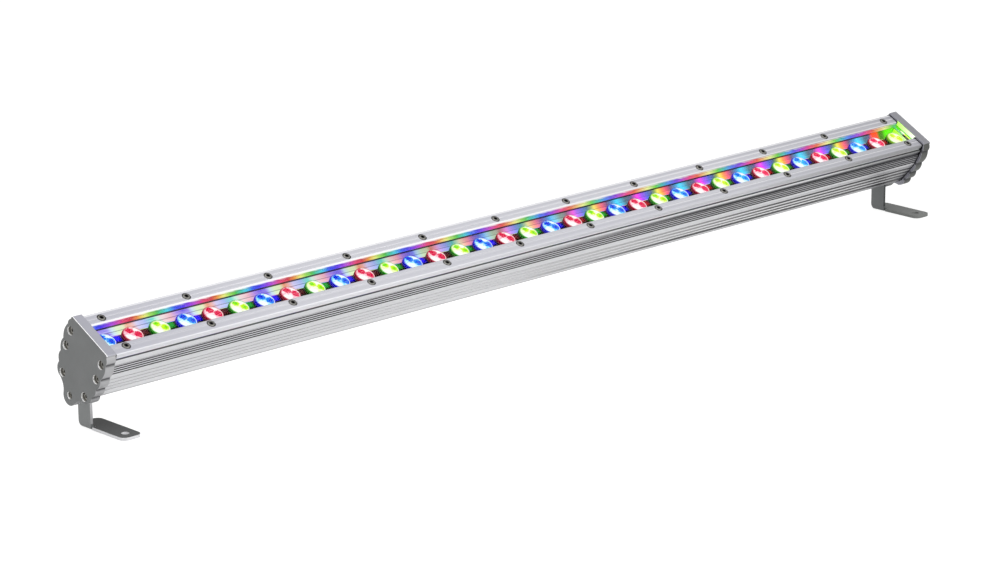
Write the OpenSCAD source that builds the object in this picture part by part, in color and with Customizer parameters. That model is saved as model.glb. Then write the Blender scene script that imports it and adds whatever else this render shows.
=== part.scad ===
// Linear wall washer light: an aluminium extrusion with a lens row under glass,
// closed by two scalloped end caps, standing on two L brackets that hinge at the caps.
// Section coordinates are [y, z]: y towards the back, z out of the light window,
// measured from the middle of the flange top and turned as one by the tilt.

/* [Lamp] */
// Length over the outer faces of the two end caps
body_length = 1000; // [900:10:1200]
// Tilt of the light window towards the front, with the feet on the ground
tilt = 27.7; // [0:0.1:50]
// Number of lenses in the row, a multiple of three colours
lens_count = 36; // [24:3:36]
// Distance from the first and last lens to the outer face of the cap
lens_end_gap = 20; // [20:1:30]

/* [Clamp strips] */
// Half width over the two strips
strip_half_w = 24.5; // [23.5:0.1:25]
// Half width of the window between the strip noses
window_half_w = 12; // [11.5:0.1:12.4]
// Thickness of a strip
strip_t = 3.6; // [3.4:0.1:4]
// Where the flat top of a strip begins to slope to its nose
nose_y = 14; // [13:0.1:15]
// Distance of the screw row from the middle
strip_screw_y = 17.7; // [17.4:0.1:18.2]
// Number of screws in each strip
strip_screws = 12; // [8:1:14]
// Distance from the cap face to the first strip screw
strip_screw_end = 25; // [20:1:40]

/* [Housing] */
// Half width at the cooling ribs
rib_half_w = 25.6; // [25.4:0.1:26]
// Depth of the housing below the flange top
housing_depth = 52.8; // [52.2:0.1:53]
// Number of cooling grooves on each side
groove_count = 4; // [2:1:4]
// Distance from groove to groove
groove_pitch = 2.45; // [2:0.05:2.5]
// Depth of a cooling groove
groove_depth = 1.2; // [0.6:0.1:1.6]
// Number of fine lines on each sloping lower side
line_count = 4; // [1:1:4]

/* [Window] */
// Thickness of the cover glass
glass_t = 5; // [4:0.5:5]
// Half width of the cover glass
glass_half_w = 15.1; // [14.8:0.1:15.2]
// Depth of the lens board's face below the flange top
board_depth = 20.7; // [20:0.1:22]

/* [End caps] */
// Thickness of an end cap
cap_t = 9.4; // [8:0.1:12]
// Height of the cap's edge above the flange top
cap_lip = 2; // [1:0.1:3]
// Thickness of the gasket between cap and housing
gasket_t = 1.2; // [0.8:0.1:2]
// Radius of the lobe round the pivot
lobe_r = 8; // [7:0.1:8.2]

/* [Brackets] */
// Distance of the pivot axis below the flange top
pivot_depth = 61.4; // [61.3:0.1:62.5]
// Thickness of the bracket plate
plate_t = 2.5; // [2:0.1:3]
// Width of the upright leg
leg_w = 16; // [14:0.1:17]
// Distance from the pivot down to the ground
pivot_height = 30.1; // [28:0.1:36]
// Width of the foot
foot_w = 20; // [16:0.5:24]
// Reach of the foot in front of the pivot
foot_reach = 51; // [35:1:60]
// Gap between bracket and cap, filled by a spacer
cap_gap = 4.3; // [3:0.1:6]
// Diameter of the fixing hole in a foot
foot_hole_d = 6.6; // [4.5:0.1:8]
// Distance from the foot's front end to its hole
foot_hole_in = 10.5; // [9:0.5:16]

/* [Cable gland] */
// Diameter of the cable that the gland takes
cable_d = 7; // [5:0.1:8]
// Depth of the gland's axis below the flange top
gland_depth = 38; // [36:0.5:40]

/* [Hidden] */
$fn = 48;

// Half lengths along the lamp
half_length = body_length / 2;
cap_in = half_length - cap_t;
tube_end = cap_in - gasket_t;
glass_end = tube_end - 0.4;

// Shadow groove under the strip and the bright band below it
notch_y = 22.8;
notch_low = strip_t + 2.2;
band_y = 25.2;
band_low = strip_t + 4.1;
recess_y = 24.8;
groove_top = 12.7;
groove_half_h = 0.65;
groove_floor_half_h = 0.55;

// Lower side, a shallow curve with fine V lines that starts below the ribs
curve_top = 20.5;
rib_end = 21.2;
curve_lean = 0.135;
curve_bend = 0.003;
line_top = 27.4;
line_pitch = 4.63;
line_half_h = 0.5;
line_depth = 0.8;
base_corner_r = 7;
base_corner_y = 13;
base_corner_from = -16.5;
band_lean = 0.2;
band_bevel = 0.4;
groove_lead = 1;
first_lead = 1.3;
curve_first = 3;
foot_corner_r = 6;
arc_steps = 8;

// Hollows of the extrusion beside the lens chamber
pocket_y = 14.6;
pocket_w = 7.8;
pocket_low = 21.9;
pocket_h = 8;

// Window stack from the flange top down
seal_t = 0.5;
nose_t = strip_t - 0.7;
bed_seal_t = 1.3;
glass_top = nose_t + seal_t;
glass_low = glass_top + glass_t;
ledge_depth = glass_low + bed_seal_t;
recess_half_w = glass_half_w + 0.2;
bed_seal_in = 0.4;
bed_seal_end = 0.8;
seal_in = 0.4;
reflector_y = 12.9;
reflector_foot_y = 11.9;
reflector_t = 0.7;
reflector_bend = 15;
reflector_gap = 0.1;
chamber_half_w = 13;
board_t = 1.6;
pad_t = 0.4;
web_top = board_depth + board_t + pad_t;
web_t = 2.5;
web_low = web_top + web_t;
board_half_w = 11;

// Fixing points of the end caps, and their screws
cap_screw_at = [[21.7, -10.5], [21.7, -25.8], [15.7, -49.7]];
cap_screw_d = 2.9;
cap_screw_hole_r = 1.5;
cap_head_d = 5.6;
cap_head_h = 3;
cap_bore_d = 7.6;
cap_head_sunk = 2.4;
cap_screw_len = 14;
hex_socket_d = 3.4;
socket_depth = 1.8;

// Scalloped edge of the end cap: the creases between its lobes, and how far each lobe bulges
gasket_proud = 0.3;
cap_top_y = 25.2;
cap_bevel = 0.6;
crease = [[25.2, -0.5], [26.9, -7], [26.8, -22], [25.3, -34], [23.2, -44.2], [21.4, -52.5]];
bulge = [1.1, 1.8, 1.7, 1.7, 1.3];
shoulder = [[19.4, -54.1], [16.3, -54.8]];
lobe_depth = 62.2;
flare_r = 14;
flare_at = [21.24, -67.88];
flare_from = 110.6;
flare_to = 163;
lobe_from = -16;
lobe_to = -84;

// Clamp screws
clamp_head_d = 7;
clamp_head_h = 2.1;
clamp_bore_d = 7.8;
clamp_bore_depth = 1.2;
clamp_screw_d = 3;
clamp_hole_d = 3.2;
clamp_screw_len = 8;
clamp_proud = 0.45;
v_half_w = 0.4;
v_depth = 0.4;
v_offset = 0.3;
edge_r = 1;
clamp_grip = 6.4;
clamp_hole_depth = 6.6;
clamp_chamfer = 0.9;
clamp_key_d = 3;
clamp_key_floor = 0.3;
clamp_thread_play = 0.1;
nose_bevel = 0.3;
nose_low = 1.5;
nose_land = 0.8;
nose_land_w = 0.6;

// Pivot and brackets, seen from the pivot axis
pivot_d = 4;
pivot_play = 0.05;
pivot_head_d = 5.9;
pivot_head_h = 4;
pivot_bore_d = 6.4;
side_play = 0.1;
spacer_d = 12;
washer_d = 12;
washer_t = 1;
nut_af = 7;
nut_t = 5;
bend_r = 1.2;
relief = 2;
heel_r = 5;
leg_out = cap_in - cap_gap;
leg_in = leg_out - plate_t;
pivot_tail_out = 1.2;
pivot_tail = leg_in - side_play - washer_t - nut_t - pivot_tail_out;

// Lens row
lens_pitch = (body_length - 2 * lens_end_gap) / (lens_count - 1);
cup_r = 9.4;
cup_wall = 1.2;
cup_top = 13;
cup_ring_t = 1.5;
lens_rim_r = 9;
lens_cone_r = 7.8;
lens_foot_r = 4.9;
lens_face_r = 6.1;
lens_rim_top = 11.4;
lens_face_top = 10.9;
lens_pocket_r = 3;
lens_pocket_top = 16.6;
chip_w = 4.4;
chip_t = 0.6;
chip_dome_r = 1.3;
board_screw_y = 8.6;
board_screw_step = 3;
board_screw_d = 2.5;
board_head_d = 4.4;
board_head_h = 1.4;
board_screw_len = 5;
board_key_d = 2;
board_key_h = 0.7;
pad_hole_d = 3.4;
chip_dome_w = 2;
chip_dome_h = 3;
cup_hole_r = 4;
lens_foot_gap = 0.2;
lens_shoulder = 1;
lens_low = board_depth - cup_ring_t - lens_foot_gap;

// Driver space under the web
tray_half_len = 290;
tray_half_w = 11.6;
tray_floor = housing_depth - 2.2;
tray_t = 1.2;
standoff_h = 4;
driver_half_len = 270;
driver_half_w = 10.6;
driver_t = 1.6;
driver_top = tray_floor - tray_t - standoff_h - driver_t;
driver_space = [[17.8, -web_low], [17.8, -29.8], [21.2, -30.8], [18.2, -44.6], [17.4, -46],
                [12.4, -46.2], [12.4, -tray_floor]];
post_x = [-250, -90, 90, 250];
post_y = 7;
post_d = 5;
post_hole_d = 2.6;
driver_hole_d = 2.8;
driver_screw_d = 2.5;
driver_screw_len = 4.6;
driver_head_d = 4.4;
driver_head_h = 1.4;
coils = [[-190, 14, 12], [-170, 14, 12], [40, 10, 12], [56, 10, 12], [72, 10, 12],
         [-130, 16, 8], [-65, 16, 8]];
blocks = [[-40, 32, 9, 11], [-225, 20, 8, 9], [225, 15, 9, 8],
          [120, 14, 7, 7], [150, 14, 7, 7], [180, 14, 7, 7]];
control_x0 = 330;
control_x1 = 450;
control_half_w = 10;
control_h = 3;
control_t = 1.6;
control_chip = [10, 16, 5, 1.4];
control_plug = [60, 12, 8, 5.4];
control_post_d = 4;
control_post_in = 6;
control_top = tray_floor - control_h - control_t;
board_wire_at = [440, 7];
board_wire_ring = 1.1;
board_wire_r = 0.6;
web_wire_hole_d = 5;
board_wire_hole_d = 3.8;
wire_r = 0.9;
wire_from = 240;
wire_gap = 3.2;
wire_h = 5.5;

// Gland
gland_thread_d = 12;
gland_hex_d = 19.6;
gland_hex_t = 5;
gland_nut_d = 16.5;
gland_nut_len = 12;
gland_lock_t = 4.4;
gland_bore_r = cable_d / 2 + 0.1;
gland_seal_r = 4.9;
gland_thread_in = 15;
gland_thread_out = 7;
gland_seal_in = 6;
gland_nut_flat = 6;
gland_nut_over = 1.6;
gland_nut_profile = [[0.6, 0], [0.6, 6.5], [1.4, 9.5], [3, gland_nut_len]];
gland_nut_hollow = 7.1;

// Room that the tilted lamp takes, used to stand it on the middle of its ground box
function turned_y(p) = p[0] * cos(tilt) - p[1] * sin(tilt);
function turned_z(p) = p[0] * sin(tilt) + p[1] * cos(tilt);
cap_points = concat([[cap_top_y, cap_lip - cap_bevel], [cap_top_y - cap_bevel, cap_lip]], cap_edge(), shoulder);
lamp_y_max = max([for (p = cap_points) max(turned_y(p), turned_y([-p[0], p[1]]))]);
lamp_y_min = min([for (p = cap_points) min(turned_y(p), turned_y([-p[0], p[1]]))]);
pivot_y = turned_y([0, -pivot_depth]);
pivot_z = turned_z([0, -pivot_depth]);
lamp_x_max = max(half_length + gland_hex_t + gland_nut_len, leg_out - plate_t + foot_w);
shift_x = (half_length - lamp_x_max) / 2;
shift_y = -(max(lamp_y_max, pivot_y + leg_w / 2) + min(lamp_y_min, pivot_y - foot_reach)) / 2;
shift_z = pivot_height - pivot_z;

// Points of one lobe between two creases, a shallow arch that bulges outwards
function arch(a, b, rise) = [
    for (i = [0:arc_steps - 1])
        let (t = i / arc_steps)
            [a[0] + (b[0] - a[0]) * t + 4 * rise * t * (1 - t), a[1] + (b[1] - a[1]) * t]
];
function cap_edge() = concat(
    [for (k = [0:len(bulge) - 1]) each arch(crease[k], crease[k + 1], bulge[k])],
    [crease[len(crease) - 1]]
);

// Arc of a circle as points, from one angle to another
function arc_points(cy, cz, r, from, to) = [
    for (i = [0:arc_steps]) [cy + r * cos(from + (to - from) * i / arc_steps),
                             cz + r * sin(from + (to - from) * i / arc_steps)]
];

// A half outline from top to bottom, closed by its mirror image
function both_sides(half) = concat(half, [for (i = [len(half) - 1:-1:0]) [-half[i][0], half[i][1]]]);

// Curved lower side: its half width at a depth
function side_y(depth) =
    rib_half_w - curve_lean * (depth - curve_top) - curve_bend * pow(depth - curve_top, 2);

housing_half = concat(
    [[notch_y, -strip_t], [notch_y, -notch_low], [band_y, -notch_low], [band_y + band_lean, -band_low],
     [recess_y, -band_low - band_bevel], [recess_y, -groove_top + first_lead],
     [rib_half_w, -groove_top + groove_lead]],
    [for (i = [0:groove_count - 1]) let (z = -groove_top - i * groove_pitch)
        each [[rib_half_w, z + groove_half_h], [rib_half_w - groove_depth, z + groove_floor_half_h],
              [rib_half_w - groove_depth, z - groove_floor_half_h], [rib_half_w, z - groove_half_h]]],
    [[side_y(rib_end), -rib_end], [side_y(curve_top + curve_first), -curve_top - curve_first]],
    [for (i = [0:line_count - 1]) let (d = line_top + i * line_pitch)
        each [[side_y(d - line_half_h), -d + line_half_h], [side_y(d) - line_depth, -d],
              [side_y(d + line_half_h), -d - line_half_h]]],
    arc_points(base_corner_y, base_corner_r - housing_depth, base_corner_r, base_corner_from, -90)
);

// Outline of a cap gasket, a little proud of the housing, and its openings as [half width, low, high]
gasket_half = concat(
    [[strip_half_w + gasket_proud, 0.2], [rib_half_w + gasket_proud, -notch_low],
     [rib_half_w + gasket_proud, -curve_top]],
    [for (d = [27, 37, 46]) [side_y(d) + gasket_proud, -d]],
    [[side_y(49) - gasket_proud, -49.6], [14, -housing_depth - gasket_proud]]
);
gasket_windows = [[window_half_w + gasket_proud, glass_top, -1], [12.8, 25, ledge_depth + 0.4], [12, 50, 27]];

// Outline of a clamp strip, from its window nose to its outer edge
strip_half = concat(
    [[nose_y, 0], [strip_screw_y - v_offset - v_half_w, 0], [strip_screw_y - v_offset, -v_depth],
     [strip_screw_y - v_offset + v_half_w, 0]],
    arc_points(strip_half_w - edge_r, -edge_r, edge_r, 90, 0),
    [[strip_half_w, -strip_t], [recess_half_w, -strip_t], [recess_half_w, -nose_t],
     [window_half_w + nose_bevel, -nose_t], [window_half_w, -nose_t + nose_bevel],
     [window_half_w, -nose_low], [window_half_w + nose_land_w, -nose_land]]
);

// Places the lamp's own section frame in the world, with the feet on the ground
module tilted() {
    translate([shift_x, shift_y, shift_z]) rotate([tilt, 0, 0]) children();
}

// Section drawing extruded along the lamp from x0 to x1
module along_x(x0, x1) {
    translate([x0, 0, 0]) rotate([90, 0, 90]) linear_extrude(height = x1 - x0) children();
}

// A rod along the lamp from x0 to x1 round the point [y, z]
module rod(x0, x1, d, at) {
    translate([x0, at[0], at[1]]) rotate([0, 90, 0]) cylinder(h = x1 - x0, d = d);
}

// A hexagonal prism along the lamp
module hex_rod(x0, x1, d, at) {
    translate([x0, at[0], at[1]]) rotate([0, 90, 0]) cylinder(h = x1 - x0, d = d, $fn = 6);
}

// Copies its children at both sides of the section
module mirrored_y() {
    children();
    mirror([0, 1, 0]) children();
}

// A box given by its two corners
module box(lo, hi) {
    translate(lo) cube([hi[0] - lo[0], hi[1] - lo[1], hi[2] - lo[2]]);
}

// Positions along the lamp
function strip_screw_x(i) =
    -half_length + strip_screw_end + i * (body_length - 2 * strip_screw_end) / (strip_screws - 1);
function lens_x(i) = -half_length + lens_end_gap + i * lens_pitch;
function board_screw_x(k) = lens_x(0) + (k * board_screw_step + 0.5) * lens_pitch;
board_screw_count = floor((lens_count - 1) / board_screw_step);

module housing_section() {
    difference() {
        polygon(both_sides(housing_half));
        translate([-chamber_half_w, -web_top]) square([2 * chamber_half_w, web_top]);
        translate([-recess_half_w, -ledge_depth]) square([2 * recess_half_w, ledge_depth]);
        for (s = [-1, 1]) {
            translate([s > 0 ? pocket_y : -pocket_y - pocket_w, -pocket_low]) square([pocket_w, pocket_h]);
            for (p = cap_screw_at) translate([s * p[0], p[1]]) circle(r = cap_screw_hole_r);
        }
        polygon(both_sides(driver_space));
    }
}

module housing() {
    color("#c8c8cc") tilted() difference() {
        along_x(-tube_end, tube_end) housing_section();
        for (i = [0:strip_screws - 1], s = [-1, 1])
            translate([strip_screw_x(i), s * strip_screw_y, -strip_t - clamp_hole_depth])
                cylinder(h = clamp_screw_len, d = clamp_screw_d + clamp_thread_play);
        for (k = [0:board_screw_count - 1])
            translate([board_screw_x(k), board_screw_y, -web_low - 1])
                cylinder(h = web_t + 2, d = board_screw_d + 0.1);
        translate([board_wire_at[0], board_wire_at[1], -web_low - 1])
            cylinder(h = web_t + 2, d = web_wire_hole_d);
    }
}

module clamp_strip() {
    difference() {
        along_x(-tube_end, tube_end) polygon(strip_half);
        for (i = [0:strip_screws - 1]) translate([strip_screw_x(i), strip_screw_y, 0]) {
            translate([0, 0, -strip_t - 1]) cylinder(h = strip_t + 2, d = clamp_hole_d);
            translate([0, 0, -clamp_bore_depth]) cylinder(h = strip_t, d = clamp_bore_d);
        }
    }
}

module front_clamp_strip() { color("#d2d2da") tilted() mirror([0, 1, 0]) clamp_strip(); }
module rear_clamp_strip() { color("#d2d2da") tilted() clamp_strip(); }

// A socket button screw that stands in its counterbore
module clamp_screws(side) {
    color("#6b6b6e") tilted() for (i = [0:strip_screws - 1])
        translate([strip_screw_x(i), side * strip_screw_y, -clamp_bore_depth]) difference() {
            union() {
                rotate_extrude() polygon([
                    [0, 0], [clamp_head_d / 2, 0], [clamp_head_d / 2, clamp_chamfer],
                    [clamp_head_d / 2 - clamp_chamfer, clamp_bore_depth + clamp_proud],
                    [0, clamp_bore_depth + clamp_proud]
                ]);
                translate([0, 0, -clamp_grip]) cylinder(h = clamp_screw_len, d = clamp_screw_d);
            }
            translate([0, 0, clamp_key_floor]) cylinder(h = clamp_head_h, d = clamp_key_d, $fn = 6);
        }
}
module front_clamp_screws() { clamp_screws(-1); }
module rear_clamp_screws() { clamp_screws(1); }

module cover_glass() {
    color("#e8f4f4", 0.35) tilted()
        box([-glass_end, -glass_half_w, -glass_low], [glass_end, glass_half_w, -glass_top]);
}

// Two flat strips between the glass and the clamp strips
module glass_top_seals() {
    color("#141416") tilted() mirrored_y()
        box([-glass_end, window_half_w + seal_in, -glass_top], [glass_end, glass_half_w, -nose_t]);
}

// A frame of silicone that the glass lies on
module glass_bed_seal() {
    color("#141416") tilted() difference() {
        box([-glass_end, -glass_half_w, -ledge_depth], [glass_end, glass_half_w, -glass_low]);
        box([-glass_end + bed_seal_end, -chamber_half_w + bed_seal_in, -ledge_depth - 1],
            [glass_end - bed_seal_end, chamber_half_w - bed_seal_in, -glass_low + 1]);
    }
}

// Bent sheet that lines the wall of the lens chamber
module reflector() {
    along_x(-glass_end + 1, glass_end - 1) polygon([
        [reflector_y, -ledge_depth - reflector_gap], [reflector_y, -reflector_bend],
        [reflector_foot_y, -board_depth + reflector_gap],
        [reflector_foot_y - reflector_t, -board_depth + reflector_gap],
        [reflector_y - reflector_t, -reflector_bend], [reflector_y - reflector_t, -ledge_depth - reflector_gap]
    ]);
}
module front_reflector() { color("#f2f2f4") tilted() mirror([0, 1, 0]) reflector(); }
module rear_reflector() { color("#f2f2f4") tilted() reflector(); }

module lens_board() {
    color("#18181c") tilted() difference() {
        box([-glass_end + 1, -board_half_w, -board_depth - board_t],
            [glass_end - 1, board_half_w, -board_depth]);
        for (k = [0:board_screw_count - 1])
            translate([board_screw_x(k), board_screw_y, -board_depth - board_t - 1])
                cylinder(h = board_t + 2, d = board_screw_d + 0.3);
        translate([board_wire_at[0], board_wire_at[1], -board_depth - board_t - 1])
            cylinder(h = board_t + 2, d = board_wire_hole_d);
    }
}

module thermal_pad() {
    color("#9aa0a6") tilted() difference() {
        box([-glass_end + 3, -board_half_w + 1, -web_top],
            [glass_end - 3, board_half_w - 1, -web_top + pad_t]);
        for (k = [0:board_screw_count - 1])
            translate([board_screw_x(k), board_screw_y, -web_top - 1])
                cylinder(h = pad_t + 2, d = pad_hole_d);
        translate([board_wire_at[0], board_wire_at[1], -web_top - 1])
            cylinder(h = pad_t + 2, d = web_wire_hole_d);
    }
}

module board_screws() {
    color("#202024") tilted() for (k = [0:board_screw_count - 1])
        translate([board_screw_x(k), board_screw_y, -board_depth]) difference() {
            union() {
                cylinder(h = board_head_h, d = board_head_d);
                translate([0, 0, -board_screw_len]) cylinder(h = board_screw_len + 0.5, d = board_screw_d);
            }
            translate([0, 0, board_head_h - board_key_h]) cylinder(h = 1, d = board_key_d, $fn = 6);
        }
}

// Places of the row, starting at the given one, every third unless a step is given
module each_lens(first, step = 3) {
    for (i = [first:step:lens_count - 1]) translate([lens_x(i), 0, 0]) children();
}

module leds(first) {
    tilted() each_lens(first) {
        box([-chip_w / 2, -chip_w / 2, -board_depth], [chip_w / 2, chip_w / 2, -board_depth + chip_t]);
        intersection() {
            translate([0, 0, -board_depth + chip_t]) sphere(r = chip_dome_r);
            box([-chip_dome_w, -chip_dome_w, -board_depth + chip_t / 2],
                [chip_dome_w, chip_dome_w, -board_depth + chip_dome_h]);
        }
    }
}
module blue_leds() { color("#3060ff") leds(0); }
module red_leds() { color("#ff2040") leds(1); }
module green_leds() { color("#80ff20") leds(2); }

// Black cups that carry the lenses, one on each chip
module lens_cups() {
    color("#101014") tilted() each_lens(0, 1) translate([0, 0, -board_depth]) difference() {
        cylinder(h = board_depth - cup_top, r = cup_r);
        translate([0, 0, cup_ring_t]) cylinder(h = board_depth, r = cup_r - cup_wall);
        translate([0, 0, -1]) cylinder(h = board_depth, r = cup_hole_r);
    }
}

// A conical lens with a rim, a raised face and a pocket over the chip
module lenses(first) {
    tilted() each_lens(first) rotate_extrude() polygon([
        [0, -lens_pocket_top], [lens_pocket_r, -lens_pocket_top], [lens_pocket_r, -lens_low],
        [lens_foot_r, -lens_low], [lens_cone_r, -cup_top], [lens_rim_r, -cup_top], [lens_rim_r, -lens_rim_top],
        [lens_face_r + lens_shoulder, -lens_rim_top], [lens_face_r, -lens_face_top], [0, -lens_face_top]
    ]);
}
module blue_lenses() { color("#2f6cff", 0.8) lenses(0); }
module red_lenses() { color("#f0143c", 0.8) lenses(1); }
module green_lenses() { color("#9cff1e", 0.8) lenses(2); }

// Plate of the end cap, from its flat inner face to its outer face
module cap_plate() {
    along_x(cap_in, half_length) polygon(both_sides(concat(
        [[cap_top_y - cap_bevel, cap_lip], [cap_top_y, cap_lip - cap_bevel]], cap_edge(), [shoulder[0]],
        arc_points(flare_at[0], flare_at[1], flare_r, flare_from, flare_to),
        arc_points(0, -lobe_depth, lobe_r, lobe_from, lobe_to)
    )));
}

module end_cap() {
    difference() {
        cap_plate();
        for (s = [-1, 1], p = cap_screw_at) {
            rod(cap_in - 1, half_length + 1, cap_screw_d + 0.2, [s * p[0], p[1]]);
            rod(half_length - cap_head_sunk - cap_head_h, half_length + 1, cap_bore_d, [s * p[0], p[1]]);
        }
        rod(cap_in - 1, half_length + 1, pivot_d + 0.1, [0, -pivot_depth]);
        rod(half_length - cap_head_sunk - pivot_head_h, half_length + 1, pivot_bore_d, [0, -pivot_depth]);
    }
}
module left_end_cap() { color("#9a9da0") tilted() mirror([1, 0, 0]) end_cap(); }
module right_end_cap() {
    color("#9a9da0") tilted() difference() {
        end_cap();
        rod(cap_in - 1, half_length + 1, gland_thread_d + 0.1, [0, -gland_depth]);
    }
}

// Flat gasket with the outline of the housing and strips, open at the window and inside
module cap_gasket() {
    along_x(tube_end, cap_in) difference() {
        polygon(both_sides(gasket_half));
        for (w = gasket_windows) translate([-w[0], -w[1]]) square([2 * w[0], w[1] - w[2]]);
        for (s = [-1, 1], p = cap_screw_at) translate([s * p[0], p[1]]) circle(d = cap_screw_d + 0.2);
    }
}
module left_cap_gasket() { color("#1b1d24") tilted() mirror([1, 0, 0]) cap_gasket(); }
module right_cap_gasket() { color("#1b1d24") tilted() cap_gasket(); }

// A socket head screw along the lamp whose head's face lies at x
module socket_screw(x, at, head_d, head_h, shank_d, shank_len, key_d) {
    difference() {
        union() {
            rod(x - head_h, x, head_d, at);
            rod(x - head_h - shank_len, x - head_h + 0.1, shank_d, at);
        }
        hex_rod(x - socket_depth, x + 1, key_d, at);
    }
}

module cap_screws() {
    for (s = [-1, 1], p = cap_screw_at)
        socket_screw(half_length - cap_head_sunk, [s * p[0], p[1]], cap_head_d, cap_head_h,
                     cap_screw_d, cap_screw_len, hex_socket_d);
}
module left_cap_screws() { color("#55565a") tilted() mirror([1, 0, 0]) cap_screws(); }
module right_cap_screws() { color("#55565a") tilted() cap_screws(); }

module pivot_bolt() {
    socket_screw(half_length - cap_head_sunk, [0, -pivot_depth], pivot_head_d, pivot_head_h, pivot_d,
                 half_length - cap_head_sunk - pivot_head_h - pivot_tail, hex_socket_d);
}
module left_pivot_bolt() { color("#55565a") tilted() mirror([1, 0, 0]) pivot_bolt(); }
module right_pivot_bolt() { color("#55565a") tilted() pivot_bolt(); }

// Spacer bush between the cap and the bracket
module pivot_spacer() {
    difference() {
        rod(leg_out + side_play, cap_in, spacer_d, [0, -pivot_depth]);
        rod(leg_out - 1, cap_in + 1, pivot_d + 0.1, [0, -pivot_depth]);
    }
}
module left_pivot_spacer() { color("#3a3b3e") tilted() mirror([1, 0, 0]) pivot_spacer(); }
module right_pivot_spacer() { color("#3a3b3e") tilted() pivot_spacer(); }

// Lock nut with its washer, in one piece
module pivot_nut() {
    low = leg_in - side_play;
    difference() {
        union() {
            rod(low - washer_t, low, washer_d, [0, -pivot_depth]);
            hex_rod(low - washer_t - nut_t, low - washer_t + 0.1, nut_af / cos(30), [0, -pivot_depth]);
        }
        rod(low - washer_t - nut_t - 1, low + 1, pivot_d + 0.02, [0, -pivot_depth]);
    }
}
module left_pivot_nut() { color("#b8babd") tilted() mirror([1, 0, 0]) pivot_nut(); }
module right_pivot_nut() { color("#b8babd") tilted() pivot_nut(); }

// Plate outline of the foot, seen from above, with its fold along the left edge
function foot_outline() =
    let (c = foot_corner_r, h = heel_r, front = -foot_reach, back = leg_w / 2)
    concat(
        arc_points(c, front + c, c, 180, 270),
        arc_points(foot_w - c, front + c, c, -90, 0),
        arc_points(foot_w - c, back - c, c, 0, 90),
        arc_points(h, back - h, h, 90, 180),
        [[0, -back], [plate_t + bend_r, -back], [plate_t + bend_r, -back - relief], [0, -back - relief]]
    );

// Side outline of the leg round the pivot, with a round top and a rounded heel
function leg_outline() =
    let (h = heel_r, half = leg_w / 2)
    concat(
        arc_points(0, 0, half, 0, 180),
        [[-half, -pivot_height]],
        arc_points(half - h, h - pivot_height, h, -90, 0)
    );

// Bracket cut from one plate: an upright leg with a round top, folded into a foot that
// points to the right; both ends of the lamp use the same part. x0 is the leg's left face.
module bracket(x0) {
    color("#8f9295") translate([shift_x + x0, shift_y + pivot_y, pivot_height]) difference() {
        union() {
            along_x(0, plate_t) polygon(leg_outline());
            translate([0, 0, -pivot_height]) linear_extrude(height = plate_t) polygon(foot_outline());
            difference() {
                box([plate_t - 0.1, -leg_w / 2, -pivot_height + plate_t - 0.1],
                    [plate_t + bend_r, leg_w / 2 - heel_r, -pivot_height + plate_t + bend_r]);
                translate([plate_t + bend_r, -leg_w / 2 - 1, -pivot_height + plate_t + bend_r])
                    rotate([-90, 0, 0]) cylinder(h = leg_w + 2, r = bend_r);
            }
        }
        translate([0, -leg_w / 2 - 1, -pivot_height]) difference() {
            translate([-1, 0, -1]) cube([bend_r + 1, leg_w + 2, bend_r + 1]);
            translate([bend_r, -1, bend_r]) rotate([-90, 0, 0]) cylinder(h = leg_w + 4, r = bend_r);
        }
        rotate([0, 90, 0]) translate([0, 0, -1]) cylinder(h = plate_t + 2, r = pivot_d / 2 + pivot_play);
        translate([foot_w / 2, -foot_reach + foot_hole_in, -pivot_height - 1])
            cylinder(h = plate_t + 2, d = foot_hole_d);
    }
}
module left_bracket() { bracket(-leg_out); }
module right_bracket() { bracket(leg_in); }

// Plastic tray that keeps the driver off the metal
module driver_tray() {
    color("#d8d8d2") tilted() difference() {
        union() {
            box([-tray_half_len, -tray_half_w, -tray_floor],
                [tray_half_len, tray_half_w, -tray_floor + tray_t]);
            for (x = post_x, s = [-1, 1])
                translate([x, s * post_y, -tray_floor]) cylinder(h = tray_t + standoff_h, d = post_d);
        }
        for (x = post_x, s = [-1, 1])
            translate([x, s * post_y, -tray_floor + tray_t]) cylinder(h = standoff_h + 1, d = post_hole_d);
    }
}

module driver_board() {
    color("#1d6b3a") tilted() difference() {
        box([-driver_half_len, -driver_half_w, -driver_top - driver_t],
            [driver_half_len, driver_half_w, -driver_top]);
        for (x = post_x, s = [-1, 1])
            translate([x, s * post_y, -driver_top - driver_t - 1])
                cylinder(h = driver_t + 2, d = driver_hole_d);
    }
}

module driver_screws() {
    color("#c9c9cc") tilted() for (x = post_x, s = [-1, 1])
        translate([x, s * post_y, -driver_top]) {
            cylinder(h = driver_head_h, d = driver_head_d);
            translate([0, 0, -driver_screw_len]) cylinder(h = driver_screw_len + 0.2, d = driver_screw_d);
        }
}

// Transformer, coils, capacitors and terminals on the driver board
module driver_parts() {
    color("#33363c") tilted() translate([0, 0, -driver_top]) {
        for (b = blocks) box([b[0], -b[2], 0], [b[0] + b[1], b[2], b[3]]);
        for (c = coils) translate([c[0], 0, 0]) cylinder(h = c[2], d = c[1]);
    }
}

module control_board() {
    color("#204a8a") tilted() {
        box([control_x0, -control_half_w, -control_top - control_t],
            [control_x1, control_half_w, -control_top]);
        translate([control_x0 + control_chip[0], 0, -control_top])
            box([0, -control_chip[2], 0], [control_chip[1], control_chip[2], control_chip[3]]);
        translate([control_x1 - control_plug[0], 0, -control_top])
            box([0, -control_plug[2], 0], [control_plug[1], control_plug[2], control_plug[3]]);
        for (x = [control_x0 + control_post_in, control_x1 - control_post_in], s = [-1, 1])
            translate([x, s * post_y, -tray_floor]) cylinder(h = control_h, d = control_post_d);
    }
}

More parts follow.
